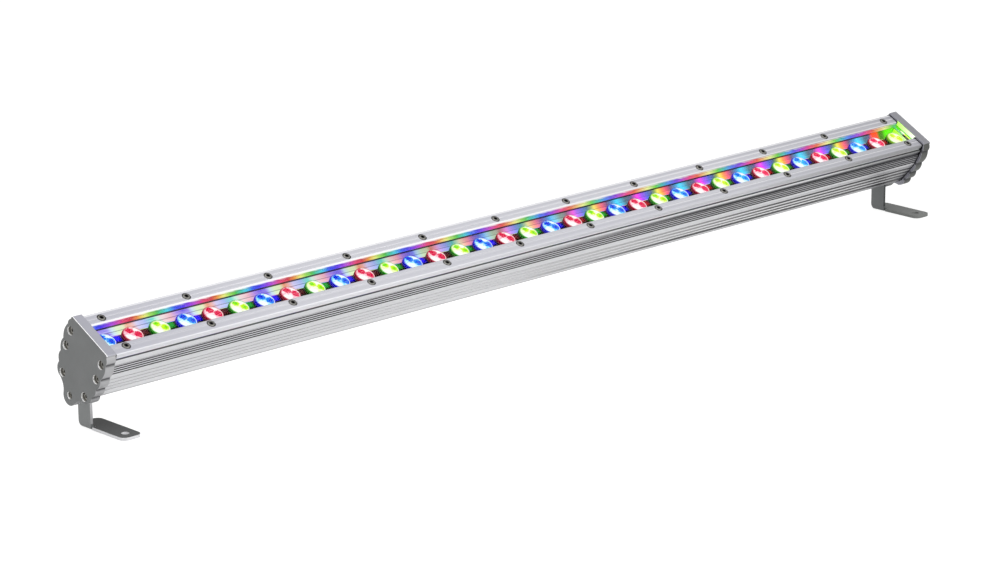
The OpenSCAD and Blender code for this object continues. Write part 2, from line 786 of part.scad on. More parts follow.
// Three straight leads from the gland to the driver's terminal block
module supply_wires() {
    color("#7a2a22") tilted() for (s = [-1, 0, 1])
        rod(wire_from, cap_in, 2 * wire_r, [s * wire_gap, -driver_top + wire_h]);
}

// Four leads that rise from the control board through the web to the lens board
module lens_board_wires() {
    color("#c8c8c8") tilted() for (a = [45:90:315])
        translate([board_wire_at[0] + board_wire_ring * cos(a), board_wire_at[1] + board_wire_ring * sin(a),
                   -control_top])
            cylinder(h = control_top - board_depth, r = board_wire_r);
}

module gland_body() {
    color("#26272a") tilted() difference() {
        union() {
            hex_rod(half_length, half_length + gland_hex_t, gland_hex_d, [0, -gland_depth]);
            rod(half_length - gland_thread_in, half_length + 0.1, gland_thread_d, [0, -gland_depth]);
            rod(half_length + gland_hex_t - 0.1, half_length + gland_hex_t + gland_thread_out,
                gland_thread_d, [0, -gland_depth]);
        }
        rod(half_length - gland_thread_in - 1, half_length + gland_hex_t + gland_thread_out + 1,
            2 * gland_seal_r, [0, -gland_depth]);
    }
}

module gland_locknut() {
    color("#26272a") tilted() difference() {
        hex_rod(cap_in - gland_lock_t, cap_in, gland_hex_d, [0, -gland_depth]);
        rod(cap_in - gland_lock_t - 1, cap_in + 1, gland_thread_d + 0.05, [0, -gland_depth]);
    }
}

// Rubber sleeve that grips the cable
module gland_seal() {
    color("#404246") tilted() difference() {
        rod(half_length - gland_seal_in, half_length + gland_hex_t + gland_thread_out,
            2 * gland_seal_r - 0.05, [0, -gland_depth]);
        rod(half_length - gland_seal_in - 1, half_length + gland_hex_t + gland_thread_out + 1,
            2 * gland_bore_r, [0, -gland_depth]);
    }
}

// Domed nut with six flats and a round mouth
module gland_nut() {
    color("#26272a") tilted() translate([half_length + gland_hex_t, 0, -gland_depth]) rotate([0, 90, 0])
        difference() {
            union() {
                cylinder(h = gland_nut_flat, d = gland_nut_d + gland_nut_over, $fn = 6);
                rotate_extrude() polygon(concat(
                    [[0, 0]], [for (p = gland_nut_profile) [gland_nut_d / 2 - p[0], p[1]]], [[0, gland_nut_len]]
                ));
            }
            translate([0, 0, -1]) cylinder(h = gland_nut_hollow + 1, d = gland_thread_d + 0.1);
            translate([0, 0, -1]) cylinder(h = gland_nut_len + 2, r = gland_bore_r + 0.3);
        }
}

housing();
left_end_cap();
right_end_cap();
left_cap_gasket();
right_cap_gasket();
left_cap_screws();
right_cap_screws();
front_clamp_strip();
rear_clamp_strip();
front_clamp_screws();
rear_clamp_screws();
cover_glass();
glass_top_seals();
glass_bed_seal();
front_reflector();
rear_reflector();
lens_board();
thermal_pad();
board_screws();
red_leds();
green_leds();
blue_leds();
lens_cups();
red_lenses();
green_lenses();
blue_lenses();
driver_tray();
driver_board();
driver_parts();
control_board();
driver_screws();
supply_wires();
lens_board_wires();
gland_body();
gland_locknut();
gland_seal();
gland_nut();
left_pivot_bolt();
right_pivot_bolt();
left_pivot_spacer();
right_pivot_spacer();
left_pivot_nut();
right_pivot_nut();
left_bracket();
right_bracket();
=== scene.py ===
# %% [markdown]
# # A wall washer light, dressed over its CAD frame
# A wall washer is a long lamp that stands at the foot of a wall and floods it with colour.
# Its solids come from the CAD model, already in place. This lesson gives each of them a finish,
# swaps the lens row for finer surfaces, and sets up the camera, the floor and the light.

# %% Load the frame
import math
import bpy
import numpy as np
from mathutils import Matrix


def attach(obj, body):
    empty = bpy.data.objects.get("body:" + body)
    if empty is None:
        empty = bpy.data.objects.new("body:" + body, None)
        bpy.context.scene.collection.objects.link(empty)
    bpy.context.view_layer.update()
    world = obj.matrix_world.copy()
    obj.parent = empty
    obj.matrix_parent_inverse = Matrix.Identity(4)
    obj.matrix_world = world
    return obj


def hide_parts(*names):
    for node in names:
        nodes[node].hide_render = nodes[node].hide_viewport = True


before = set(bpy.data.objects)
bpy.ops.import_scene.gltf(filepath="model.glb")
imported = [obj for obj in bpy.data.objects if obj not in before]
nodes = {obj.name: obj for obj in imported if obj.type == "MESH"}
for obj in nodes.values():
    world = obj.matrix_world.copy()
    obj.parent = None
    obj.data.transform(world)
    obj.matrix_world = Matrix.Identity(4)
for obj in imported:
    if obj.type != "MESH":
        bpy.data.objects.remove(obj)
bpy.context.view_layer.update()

# %% [markdown]
# ## The lamp's own section frame
# The lamp is an extrusion that leans forward, so its patterns are easiest to place in section
# coordinates: x along the lamp, y to the back and z out of the window, in millimetres, measured
# from the middle of the flange top. The lean and the origin are the CAD model's own values.

# %% Section frame
TILT = math.radians(27.7)
ORIGIN = np.array([-8.5, -10.3430, 84.4632])
HALF_LENGTH = 500.0
FIRST_LENS = -480.0
LENS_COUNT = 36
LENS_PITCH = -2 * FIRST_LENS / (LENS_COUNT - 1)


def to_row(points):
    """Section millimetres to metres in the frame: turn by the tilt about x, then add the origin."""
    x, y, z = np.moveaxis(np.asarray(points, float), -1, 0)
    c, s = math.cos(TILT), math.sin(TILT)
    turned = np.stack([x, y * c - z * s, y * s + z * c], axis=-1)
    return (turned + ORIGIN) / 1000


print("lens row from", to_row([FIRST_LENS, 0, -11]), "to", to_row([-FIRST_LENS, 0, -11]))

# %% [markdown]
# ## The camera
# The photograph is a product shot with a long lens from the front left, a little above the lamp.
# The place was solved from known points of the lamp, so the camera stands where the photographer
# did: 43 degrees round to the left, 16 degrees up, with a very slight roll.

# %% Camera
AZIMUTH, ELEVATION, ROLL = (math.radians(a) for a in (-43.13, 16.12, -0.377))
CAMERA_AT = (np.array([-2116.85, -2196.19, 825.40]) + ORIGIN) / 1000
back = np.array([math.sin(AZIMUTH) * math.cos(ELEVATION), -math.cos(AZIMUTH) * math.cos(ELEVATION),
                 math.sin(ELEVATION)])
right = np.array([math.cos(AZIMUTH), math.sin(AZIMUTH), 0.0])
up = np.cross(back, right)
axis_x = right * math.cos(ROLL) + up * math.sin(ROLL)
axis_y = -right * math.sin(ROLL) + up * math.cos(ROLL)
camera_data = bpy.data.cameras.new("camera")
camera_data.lens = 130.23
camera_data.sensor_width = 36.0
camera_data.clip_end = 40
camera = bpy.data.objects.new("camera", camera_data)
pose = np.eye(4)
pose[:3, 0], pose[:3, 1], pose[:3, 2], pose[:3, 3] = axis_x, axis_y, back, CAMERA_AT
camera.matrix_world = Matrix(pose.tolist())
bpy.context.scene.collection.objects.link(camera)
bpy.context.scene.camera = camera
bpy.context.scene.view_settings.view_transform = "Standard"
print("camera at", CAMERA_AT.round(3), "lens", camera_data.lens)

# %% [markdown]
# ## Small helpers for materials
# Colours are chosen as sRGB hex values, because that is how a screen shows them, and one function
# turns them to the linear values that shaders work with. A second function adds a node with its
# settings and links, and a third starts a material with a Principled shader.


# %% Colour and node helpers
def colour(hexa, alpha=1.0):
    """sRGB hex to linear: divide by 12.92 in the toe, else the 2.4 power curve."""
    values = np.array([int(hexa[i:i + 2], 16) for i in (1, 3, 5)]) / 255
    linear = np.where(values <= 0.04045, values / 12.92, ((values + 0.055) / 1.055) ** 2.4)
    return (*map(float, linear), alpha)


def add(tree, kind, links=None, out=0, stops=(), blend="LINEAR", **settings):
    """Adds a node and returns its output socket. Settings are its properties, links gives each input
    a socket or a value, and stops are the (position, hex) pairs of a colour ramp."""
    node = tree.nodes.new(kind)
    for key, value in settings.items():
        setattr(node, key, value)
    if stops:
        node.color_ramp.interpolation = blend
    for i, (position, hexa) in enumerate(stops):
        spot = node.color_ramp.elements[i] if i < 2 else node.color_ramp.elements.new(position)
        spot.position, spot.color = position, colour(hexa)
    for key, value in (links or {}).items():
        if isinstance(value, bpy.types.NodeSocket):
            tree.links.new(value, node.inputs[key])
        else:
            node.inputs[key].default_value = value
    return node.outputs[out] if len(node.outputs) else node


def material(name, **sockets):
    """A new material with a Principled shader whose named sockets are set.
    Returns the material, its tree and the shader."""
    made = bpy.data.materials.new(name)
    made.use_nodes = True
    tree = made.node_tree
    tree.nodes.clear()
    shaded = add(tree, "ShaderNodeBsdfPrincipled", {k.replace("_", " "): v for k, v in sockets.items()})
    add(tree, "ShaderNodeOutputMaterial", {"Surface": shaded})
    return made, tree, shaded.node


def dress(name, made):
    """Gives a CAD node or a new piece its material."""
    piece = nodes[name] if name in nodes else bpy.data.objects[name]
    piece.data.materials.clear()
    piece.data.materials.append(made)


print("helpers ready")

# %% [markdown]
# ## Section coordinates inside a material
# A Mapping node turns the object's coordinates, which are metres in the shared frame, to section
# millimetres: scale by 1000, turn back by the tilt, and take off the turned origin. With these,
# a band of the section, a stretch of the lamp or a ring round a screw can be given its own tone.
# A finish is then a short table of layers, read from the first coat to the last.


# %% Section coordinates for materials
def section(tree):
    """Object coordinates to section millimetres; returns the vector and its x, y and z sockets."""
    c, s = math.cos(-TILT), math.sin(-TILT)
    x, y, z = ORIGIN
    where = (-x, -(y * c - z * s), -(y * s + z * c))
    coords = add(tree, "ShaderNodeTexCoord", out="Object")
    mapped = add(tree, "ShaderNodeMapping", {
        "Vector": coords, "Location": where, "Rotation": (-TILT, 0, 0), "Scale": (1000, 1000, 1000)})
    parts = add(tree, "ShaderNodeSeparateXYZ", {0: mapped}).node.outputs
    return mapped, parts[0], parts[1], parts[2]


def stretched(tree, vector, scale, **settings):
    """Noise whose cells are drawn out: the vector is scaled per axis, in cells per millimetre."""
    drawn = add(tree, "ShaderNodeVectorMath", {0: vector, 1: scale}, operation="MULTIPLY")
    return add(tree, "ShaderNodeTexNoise", {"Vector": drawn, "Scale": 1.0, **settings})


def between(tree, value, low, high):
    """1 where low < value < high, else 0."""
    above = add(tree, "ShaderNodeMath", {0: value, 1: low}, operation="GREATER_THAN")
    below = add(tree, "ShaderNodeMath", {0: value, 1: high}, operation="LESS_THAN")
    return add(tree, "ShaderNodeMath", {0: above, 1: below}, operation="MULTIPLY")


def painted(tree, base, masks, tone, strength=1.0):
    """The base colour, blended to the tone by the product of the masks and the strength. A mask is a
    socket, or (value, start, end, near, far): it runs from near to far while the value goes from
    start to end, and stays there. The tone is a hex value or a socket."""
    amount = strength
    for mask in masks:
        if isinstance(mask, tuple):
            mask = add(tree, "ShaderNodeMapRange", dict(enumerate(mask)))
        amount = add(tree, "ShaderNodeMath", {0: mask, 1: amount}, operation="MULTIPLY")
    second = tone if isinstance(tone, bpy.types.NodeSocket) else colour(tone)
    return add(tree, "ShaderNodeMix", {0: amount, 6: base, 7: second}, out=2, data_type="RGBA")


def layered(tree, base, layers):
    """The base colour under layers of (masks, tone, strength), each painted over the one before."""
    for masks, tone, strength in layers:
        base = painted(tree, base, masks, tone, strength)
    return base


def from_nearest(tree, value, first, spacing):
    """How far the value is from the nearest of first + k * spacing, as a signed part of the spacing."""
    scale, start = 1 / spacing, -first / spacing
    steps = add(tree, "ShaderNodeMath", {0: value, 1: scale, 2: start}, operation="MULTIPLY_ADD")
    nearest = add(tree, "ShaderNodeMath", {0: steps}, operation="ROUND")
    return add(tree, "ShaderNodeMath", {0: steps, 1: nearest}, operation="SUBTRACT")


print("section helpers ready")

# %% [markdown]
# ## The glow of the lens row
# The chips shine blue, red and green in turn, and their light washes over the walls of the lens
# chamber as soft rainbow bands that repeat every three lenses. In the real lamp this is light that
# bounces between polished walls and glass. Tracing that would be slow and grainy, so the walls
# give off a little light of their own, in a ramp that runs with the position along the lamp. Near
# the left end the bands are pale and broad. Towards the right end one looks along them at a flatter
# angle, and they are deeper in colour, so each has a second ramp there.

# %% Glow bands
UPPER_NEAR = [(0.0, "#4A38EE"), (0.06, "#7840F0"), (0.15, "#B848D8"), (0.27, "#E84878"), (0.375, "#D83C48"),
              (0.447, "#F0903C"), (0.54, "#F0EE7C"), (0.60, "#A8E060"), (0.69, "#48C048"), (0.82, "#50D0E8"),
              (0.91, "#3858F4"), (1.0, "#4A38EE")]
UPPER_FAR = [(0.0, "#6A58E8"), (0.08, "#A050E0"), (0.24, "#F0508C"), (0.36, "#F0684A"), (0.47, "#F0C080"),
             (0.57, "#F2F09C"), (0.70, "#6CD440"), (0.80, "#50C0B8"), (0.90, "#5A90F0"), (1.0, "#6A58E8")]
LOWER_NEAR = [(0.0, "#6A50E8"), (0.06, "#8468EC"), (0.11, "#C4DCF0"), (0.17, "#DCF0C0"), (0.25, "#E4E8B8"),
              (0.306, "#EE8A58"), (0.36, "#F0A49C"), (0.42, "#CFC4F4"), (0.52, "#A0B4F4"), (0.616, "#5CDCC8"),
              (0.67, "#C8F0E0"), (0.73, "#F4D0D8"), (0.83, "#F0A8BC"), (0.92, "#A070E8"), (1.0, "#6A50E8")]
LOWER_FAR = [(0.0, "#2A88C0"), (0.068, "#30D8FF"), (0.12, "#40B8E0"), (0.2, "#3C6878"), (0.3, "#584880"),
             (0.395, "#FF28E8"), (0.46, "#A040F0"), (0.54, "#4458D0"), (0.62, "#3C5878"), (0.67, "#88A030"),
             (0.718, "#FFE840"), (0.78, "#FF9038"), (0.84, "#F05070"), (0.92, "#64406C"), (1.0, "#2A88C0")]

# how far the bands stand to the right of the first lens, in mm
WALL_SHIFT = 3.0
REFLECTOR_SHIFT = 2.6


def glow(tree, x, near, far, shift=0.0):
    """Colour of the glow at x: the fraction of x along one period of three lenses, read from two ramps.
    The shift moves the bands to the right, in mm."""
    along = add(tree, "ShaderNodeMath", {0: x, 1: FIRST_LENS + shift}, operation="SUBTRACT")
    turns = add(tree, "ShaderNodeMath", {0: along, 1: 3 * LENS_PITCH}, operation="DIVIDE")
    place = add(tree, "ShaderNodeMath", {0: turns}, operation="FRACT")
    first = add(tree, "ShaderNodeValToRGB", {"Fac": place}, stops=near)
    second = add(tree, "ShaderNodeValToRGB", {"Fac": place}, stops=far)
    return painted(tree, first, [(x, -200.0, 110.0, 0.0, 1.0)], second)


print("glow period in mm:", round(3 * LENS_PITCH, 2))

# %% [markdown]
# ## Anodised aluminium extrusion
# The housing and the two clamp strips are aluminium, pressed through a die, blasted with fine beads
# and clear-anodised. That gives a light grey, silky surface with very faint lines along the lamp,
# where the die left its marks. The base is a metal at a medium roughness, the lines are noise drawn
# out along x, and the blasting is a fine bump. Die marks are about 0.2 mm apart, too fine to
# show from here, so they are drawn 1.2 mm apart.


# %% Extrusion material
def extrusion(name, tones, roughness):
    """Clear-anodised extrusion: a metal with drawn-out lines in its tone and roughness, and a blasted bump.
    Returns the material, its tree and shader, the section's sockets and the colour so far."""
    made, tree, shader = material(name, Metallic=0.55, Roughness=roughness)
    vector, x, y, z = section(tree)
    lines = stretched(tree, vector, (0.004, 0.8, 0.8), Detail=3.0, Roughness=0.6)
    cloud = stretched(tree, vector, (0.012, 0.06, 0.06), Detail=2.0)
    pale = painted(tree, colour(tones[0]), [lines], tones[1])
    shade = painted(tree, pale, [cloud], tones[2], 0.35)
    rough = add(tree, "ShaderNodeMath", {0: lines, 1: 0.16, 2: roughness - 0.08}, operation="MULTIPLY_ADD")
    grit = stretched(tree, vector, (2.2, 2.2, 2.2), Detail=2.0)
    blasted = add(tree, "ShaderNodeBump", {"Height": grit, "Strength": 0.1, "Distance": 0.00004})
    tree.links.new(rough, shader.inputs["Roughness"])
    tree.links.new(blasted, shader.inputs["Normal"])
    return made, tree, shader, (vector, x, y, z), shade


print("extrusion material ready")

# %% [markdown]
# ## Housing
# The section of the housing is the same all along, so its finish, with the light and shade painted on
# it, goes in bands of height. Painted shade darkens the floors of the grooves, more so towards the right
# end, where less light gets in. Inside, the walls of the lens chamber carry the rainbow. The inner
# edge of the shadow groove gives off a little grey, for the light that bounces under the strip.

# %% Housing finish
RIBS = (-21.0, -11.55)
RECESS = (-11.55, -7.9)
WALL = (-45.9, -26.6)
FOOT = -60.0
GROOVE_FLOOR = 25.45
CHAMBER_WALL = 15.6
LINE_STEP = -4.63
SHADE_STEP = -4.93
CHAMBER_LIGHT = 0.9
housing_finish, tree, shader, (vector, x, y, z), shade = extrusion(
    "anodised_extrusion", ("#CDCDCF", "#D8D8DA", "#C2C3C6"), 0.40)
side = add(tree, "ShaderNodeMath", {0: y}, operation="ABSOLUTE")
away = (x, -150.0, 470.0, 0.0, 1.0)
late = (x, 150.0, 500.0, 0.0, 1.0)
ribs = between(tree, z, *RIBS)
shaded = add(tree, "ShaderNodeMath", {0: from_nearest(tree, z, -28.8, SHADE_STEP)}, operation="ABSOLUTE")
line = between(tree, from_nearest(tree, z, -27.4, LINE_STEP), -0.125, 0.125)
groove_floor = add(tree, "ShaderNodeMath", {0: side, 1: GROOVE_FLOOR}, operation="LESS_THAN")
shade = layered(tree, shade, [
    # painted shade on the recessed band, the lip of the shadow groove, the band's lower part and the edge over
    # it
    ([between(tree, z, *RECESS), away], "#4E4E52", 0.95),
    ([between(tree, z, -6.0, -5.2)], "#3A3A3E", 0.8),
    ([between(tree, z, RECESS[0], -9.3), (x, -20.0, 200.0, 0.0, 0.85)], "#101014", 1.0),
    ([between(tree, z, RECESS[1], -5.7), (x, 330.0, 500.0, 0.0, 1.0)], "#707470", 0.7),
    # the smooth wall: shade at its top, light between its lines, shade and then light at its foot
    ([between(tree, z, -26.4, -23.7), late], "#505054", 0.5),
    ([between(tree, z, -43.0, -26.4), (x, 0.0, 220.0, 0.0, 1.0), (x, 330.0, 450.0, 1.0, 0.3)], "#FFFFFF", 0.45),
    ([between(tree, z, FOOT, -45.6), late], "#505054", 0.45),
    ([between(tree, z, FOOT, -42.6), (x, -50.0, 150.0, 0.2, 0.0)], "#FFFFFF", 1.0),
    # soft shade under each line of the wall, broadest under the last
    ([(shaded, 0.17, 0.38, 1.0, 0.0), between(tree, z, *WALL), (x, -80.0, 300.0, 0.0, 1.0)], "#020204", 1.0),
    ([between(tree, z, -45.8, -41.9), (x, -50.0, 180.0, 0.0, 1.0)], "#020204", 1.0),
    # painted shade on the ribs, deeper towards the right, and on the floors of the grooves between them
    ([ribs], "#707074", 0.1),
    ([ribs, away], "#58585C", 0.55),
    ([ribs, groove_floor], "#0C0C10", 0.95),
    # painted shade in the wall's fine lines, which shows at the left end
    ([line, between(tree, z, -42.0, -26.4), (x, -300.0, 100.0, 0.55, 0.1)], "#55555A", 1.0),
    # painted shade on the lower edge, and the shade before the right cap
    ([(z, -49.0, -47.0, 1.0, 0.0)], "#6E6E72", 0.75),
    ([(x, 350.0, 490.0, 0.0, 1.0), (z, -8.5, -8.0, 0.4, 1.0)], "#48484C", 0.55),
    ([(x, 468.0, 490.0, 0.0, 1.0), (z, -44.0, -24.0, 1.0, 0.0)], "#2A2A30", 0.8),
])
tree.links.new(shade, shader.inputs["Base Color"])

inside = add(tree, "ShaderNodeMath", {0: side, 1: CHAMBER_WALL}, operation="LESS_THAN")
chamber = add(tree, "ShaderNodeMath", {0: inside, 1: between(tree, z, -23.0, -2.0)}, operation="MULTIPLY")
inmost = add(tree, "ShaderNodeMapRange", {0: side, 1: 23.5, 2: 23.8, 3: 1.0, 4: 0.0})
ledge = add(tree, "ShaderNodeMath", {0: between(tree, z, -5.95, -5.5), 1: inmost}, operation="MULTIPLY")
fainter = add(tree, "ShaderNodeMapRange", {0: x, 1: 100.0, 2: 450.0, 3: 1.0, 4: 0.55})
bounced = add(tree, "ShaderNodeMath", {0: ledge, 1: fainter}, operation="MULTIPLY")
chamber_glow = glow(tree, x, UPPER_NEAR, UPPER_FAR, WALL_SHIFT)
tree.links.new(painted(tree, chamber_glow, [ledge], "#C8C8CC"), shader.inputs["Emission Color"])
lit = add(tree, "ShaderNodeMath", {0: chamber, 1: CHAMBER_LIGHT, 2: bounced}, operation="MULTIPLY_ADD")
tree.links.new(lit, shader.inputs["Emission Strength"])
dress("housing", housing_finish)
print("housing dressed")

# %% [markdown]
# ## Clamp strips
# The strips are the same metal, seen from above. The rear strip's nose slopes into the window and
# faces the viewer, and the row of lenses lights it: almost white on the slope, and in the colours
# of the rainbow on the low land beside the glass. Round each screw is the shadow of its seat.

# %% Strip material
SCREW_END = 25.0
SCREW_SIDE = 17.7
SCREW_STEP = 2 * (HALF_LENGTH - SCREW_END) / 11
NOSE_LIGHT = 0.95


def from_screw(tree, x, side):
    """Distance in mm, seen from above, to the nearest of the twelve screws of a strip."""
    off = from_nearest(tree, x, SCREW_END - HALF_LENGTH, SCREW_STEP)
    along = add(tree, "ShaderNodeMath", {0: off, 1: SCREW_STEP}, operation="MULTIPLY")
    across = add(tree, "ShaderNodeMath", {0: side, 1: SCREW_SIDE}, operation="SUBTRACT")
    flat = add(tree, "ShaderNodeCombineXYZ", {0: along, 1: across})
    return add(tree, "ShaderNodeVectorMath", {0: flat}, out="Value", operation="LENGTH")


strip_finish, tree, shader, (vector, x, y, z), shade = extrusion(
    "anodised_strip", ("#AEAEB8", "#B8B8C0", "#A6A6B2"), 0.42)
side = add(tree, "ShaderNodeMath", {0: y}, operation="ABSOLUTE")
rear = add(tree, "ShaderNodeMath", {0: y, 1: 0.0}, operation="GREATER_THAN")
nose = add(tree, "ShaderNodeMath", {0: between(tree, side, 11.0, 13.45), 1: rear}, operation="MULTIPLY")
outer = (side, 23.3, 24.2, 0.0, 1.0)
shade = layered(tree, shade, [
    # painted shadow round each screw's seat, and painted shade in the drilling line
    ([between(tree, from_screw(tree, x, side), 3.2, 3.95)], "#0C0C0E", 0.95),
    ([between(tree, side, 16.9, 17.9), between(tree, z, -0.6, -0.05)], "#8A8A90", 0.7),
    # painted shade on the outer side towards the right, and painted light on it towards the left
    ([outer, (x, -200.0, 300.0, 0.05, 0.4)], "#7E827E", 1.0),
    ([outer, (x, 250.0, 450.0, 0.0, 0.9)], "#3E423E", 1.0),
    ([outer, (x, -200.0, 50.0, 1.0, 0.0)], "#FFFFFF", 0.33),
    # painted light on the flange past its left end, and painted shade at its right end
    ([(x, -520.0, -320.0, 0.0, 1.0)], "#F0F0F2", 0.28),
    ([(x, 230.0, 500.0, 0.0, 1.0)], "#7C7C82", 0.4),
    # painted light and shade in broad bands along the flange, and a painted highlight on the rear outer edge
    ([between(tree, side, 17.5, 18.8), (x, -100.0, 200.0, 0.3, 1.0)], "#FFFFFF", 0.3),
    ([between(tree, side, 19.6, 21.9), (x, -100.0, 200.0, 0.2, 1.0)], "#8C8C94", 0.22),
    ([between(tree, side, 22.3, 23.5), rear], "#FFFFFF", 0.5),
    # the nose, dark under its own light
    ([nose], "#1C1C20", 1.0),
])
tree.links.new(shade, shader.inputs["Base Color"])

slanting = add(tree, "ShaderNodeMath", {0: z, 1: 6.0, 2: x}, operation="MULTIPLY_ADD")
hatch = add(tree, "ShaderNodeTexNoise", {
    "Vector": add(tree, "ShaderNodeCombineXYZ", {0: slanting, 1: z}), "Scale": 0.3, "Detail": 2.0})
land_light = layered(tree, glow(tree, x, UPPER_NEAR, UPPER_FAR), [
    # in the painted light of the land: pale hatching, the pale upper edge, a grey line towards the right, and
    # painted shade at its foot
    ([(hatch, 0.46, 0.62, 0.0, 0.55)], "#FFFFFF", 1.0),
    ([(z, -1.0, -0.7, 0.0, 0.25)], "#FFFFFF", 1.0),
    ([between(tree, z, -0.95, -0.75), (x, 0.0, 300.0, 0.0, 0.5)], "#505068", 1.0),
    ([between(tree, z, -2.95, -2.2)], "#28243C", 0.75),
])
greyer = [(x, -100.0, 350.0, 0.0, 1.0), (side, 12.3, 12.8, 1.0, 0.35)]
slope_light = painted(tree, colour("#FFFFFF"), greyer, "#7C7C88")
nose_light = painted(tree, slope_light, [(side, 12.1, 12.35, 1.0, 0.0)], land_light)
lit = add(tree, "ShaderNodeMath", {0: nose, 1: NOSE_LIGHT}, operation="MULTIPLY")
tree.links.new(nose_light, shader.inputs["Emission Color"])
tree.links.new(lit, shader.inputs["Emission Strength"])
for name in ("front_clamp_strip", "rear_clamp_strip"):
    dress(name, strip_finish)
print("strips dressed, screw step", round(SCREW_STEP, 3))

# %% [markdown]
# ## Die-cast end caps
# The caps are die-cast aluminium with a satin grey coat, with light and shade painted on it. The outer
# face turns away from the light and is painted in the darker of the two tones, the top, the scalloped
# edge and the inner face are painted in tones of light and shade of their own on each cap, a painted
# highlight runs along the long outer edge, and painted shade lies in the creases between the scallops.
# The screw bores were cut after coating, so they show bare metal, with a painted highlight round the
# rim of each. The inner face between the strips catches the light of the nearest lens.


# %% Cap material
# side and height of each bore's axis, and the two radii between which its wall lies
BORES = ((21.7, -10.5, 3.3, 4.4), (21.7, -25.8, 3.3, 4.4), (15.7, -49.7, 3.3, 4.4), (0.0, -61.4, 2.8, 3.7))
# side and height of the creases between the scallops, where painted shade lies
CREASES = ((26.9, -7.0), (26.8, -22.0), (25.3, -34.0), (23.2, -44.2))


def in_window(tree, side, z, top):
    """1 within the end of the lens chamber, up to the top in mm, else 0."""
    across = between(tree, side, -1.0, 12.9)
    return add(tree, "ShaderNodeMath", {0: across, 1: between(tree, z, -24.0, top)}, operation="MULTIPLY")


def cap_finish(name, glow_hex, top, edge, inside):
    """Satin coat over die-cast metal, bare metal in the bores, and a patch lit by the nearest lens. The
    tones of the top, of the scalloped edge and of the inner face are painted light and shade. Painted
    shade lies on the outer face and in the creases, and painted highlights run along the top edge and
    round the rim of each bore."""
    made, tree, shader = material(name, Metallic=0.4, Roughness=0.46)
    vector, x, y, z = section(tree)
    side = add(tree, "ShaderNodeMath", {0: y}, operation="ABSOLUTE")
    end = add(tree, "ShaderNodeMath", {0: x}, operation="ABSOLUTE")
    cloud = stretched(tree, vector, (0.05, 0.05, 0.05), Detail=3.0)
    upper = add(tree, "ShaderNodeMath", {0: z, 1: 1.15}, operation="GREATER_THAN")
    inner = add(tree, "ShaderNodeMath", {0: end, 1: 490.8}, operation="LESS_THAN")
    face = add(tree, "ShaderNodeMath", {0: end, 1: 499.85}, operation="GREATER_THAN")
    shade = layered(tree, colour(edge), [
        # the top, inner face and outer face in their painted tones of light and shade, soft clouds of tone, and
        # a painted highlight along the top edge
        ([upper], top, 1.0),
        ([inner], inside, 1.0),
        ([face], "#686A6A", 1.0),
        ([cloud], "#FFFFFF", 0.06),
        ([between(tree, end, 499.3, 499.97), upper], "#FFFFFF", 1.0),
    ])
    flat = add(tree, "ShaderNodeCombineXYZ", {0: side, 1: z})
    for across, high, low, wide in BORES:
        axis = (across, high, 0)
        away = add(tree, "ShaderNodeVectorMath", {0: flat, 1: axis}, out="Value", operation="DISTANCE")
        wall = between(tree, away, low, wide)
        # bare metal in the bore, with a painted highlight round its rim
        shade = painted(tree, shade, [wall, between(tree, end, 494.0, 498.7)], "#8C8A84")
        shade = painted(tree, shade, [wall, between(tree, end, 498.7, 499.95)], "#FFFFFF")
    for across, high in CREASES:
        axis = (across, high, 0)
        away = add(tree, "ShaderNodeVectorMath", {0: flat, 1: axis}, out="Value", operation="DISTANCE")
        crease = (away, 0.4, 2.4, 1.0, 0.0)
        # painted shade in the crease
        shade = painted(tree, shade, [crease, between(tree, end, 490.0, 499.6)], "#28282C", 0.85)
    tree.links.new(shade, shader.inputs["Base Color"])
    grit = stretched(tree, vector, (1.6, 1.6, 1.6), Detail=3.0)
    blasted = add(tree, "ShaderNodeBump", {"Height": grit, "Strength": 0.18, "Distance": 0.00006})
    tree.links.new(blasted, shader.inputs["Normal"])
    window = in_window(tree, side, z, 1.2)
    lit = painted(tree, colour(glow_hex), [(y, -12.0, 9.0, 1.0, 0.0)], "#FFFFFF", 0.8)
    tree.links.new(lit, shader.inputs["Emission Color"])
    strength = add(tree, "ShaderNodeMath", {0: inner, 1: window}, operation="MULTIPLY")
    tree.links.new(strength, shader.inputs["Emission Strength"])
    return made


dress("left_end_cap", cap_finish("satin_die_cast_left", "#3C7CF4", "#9C9CA6", "#A6A6A8", "#8A8A8A"))
dress("right_end_cap", cap_finish("satin_die_cast_right", "#B8FF1C", "#84848A", "#3E403C", "#A0A0AA"))
print("caps dressed")

# %% [markdown]
# ## Folded brackets and screws
# The brackets are stainless sheet, cut, folded and blasted: darker than the anodised parts, with a
# dull sheen. Light and shade are painted on them in tones of their own for each bracket: painted
# highlights on the left bracket's cut edges, painted shade on the right leg's cut edge, and painted
# shade on the top of each foot, which lies under the lamp, deepest at its back. The screws are turned
# stainless steel, and each clamp screw has a painted shadow round its head and painted shade in its
# socket.


# %% Sheet and screw materials
FOOT_BELOW = 0.0055
FOOT_AHEAD = 0.0095
LEG_ABOVE = 0.0045


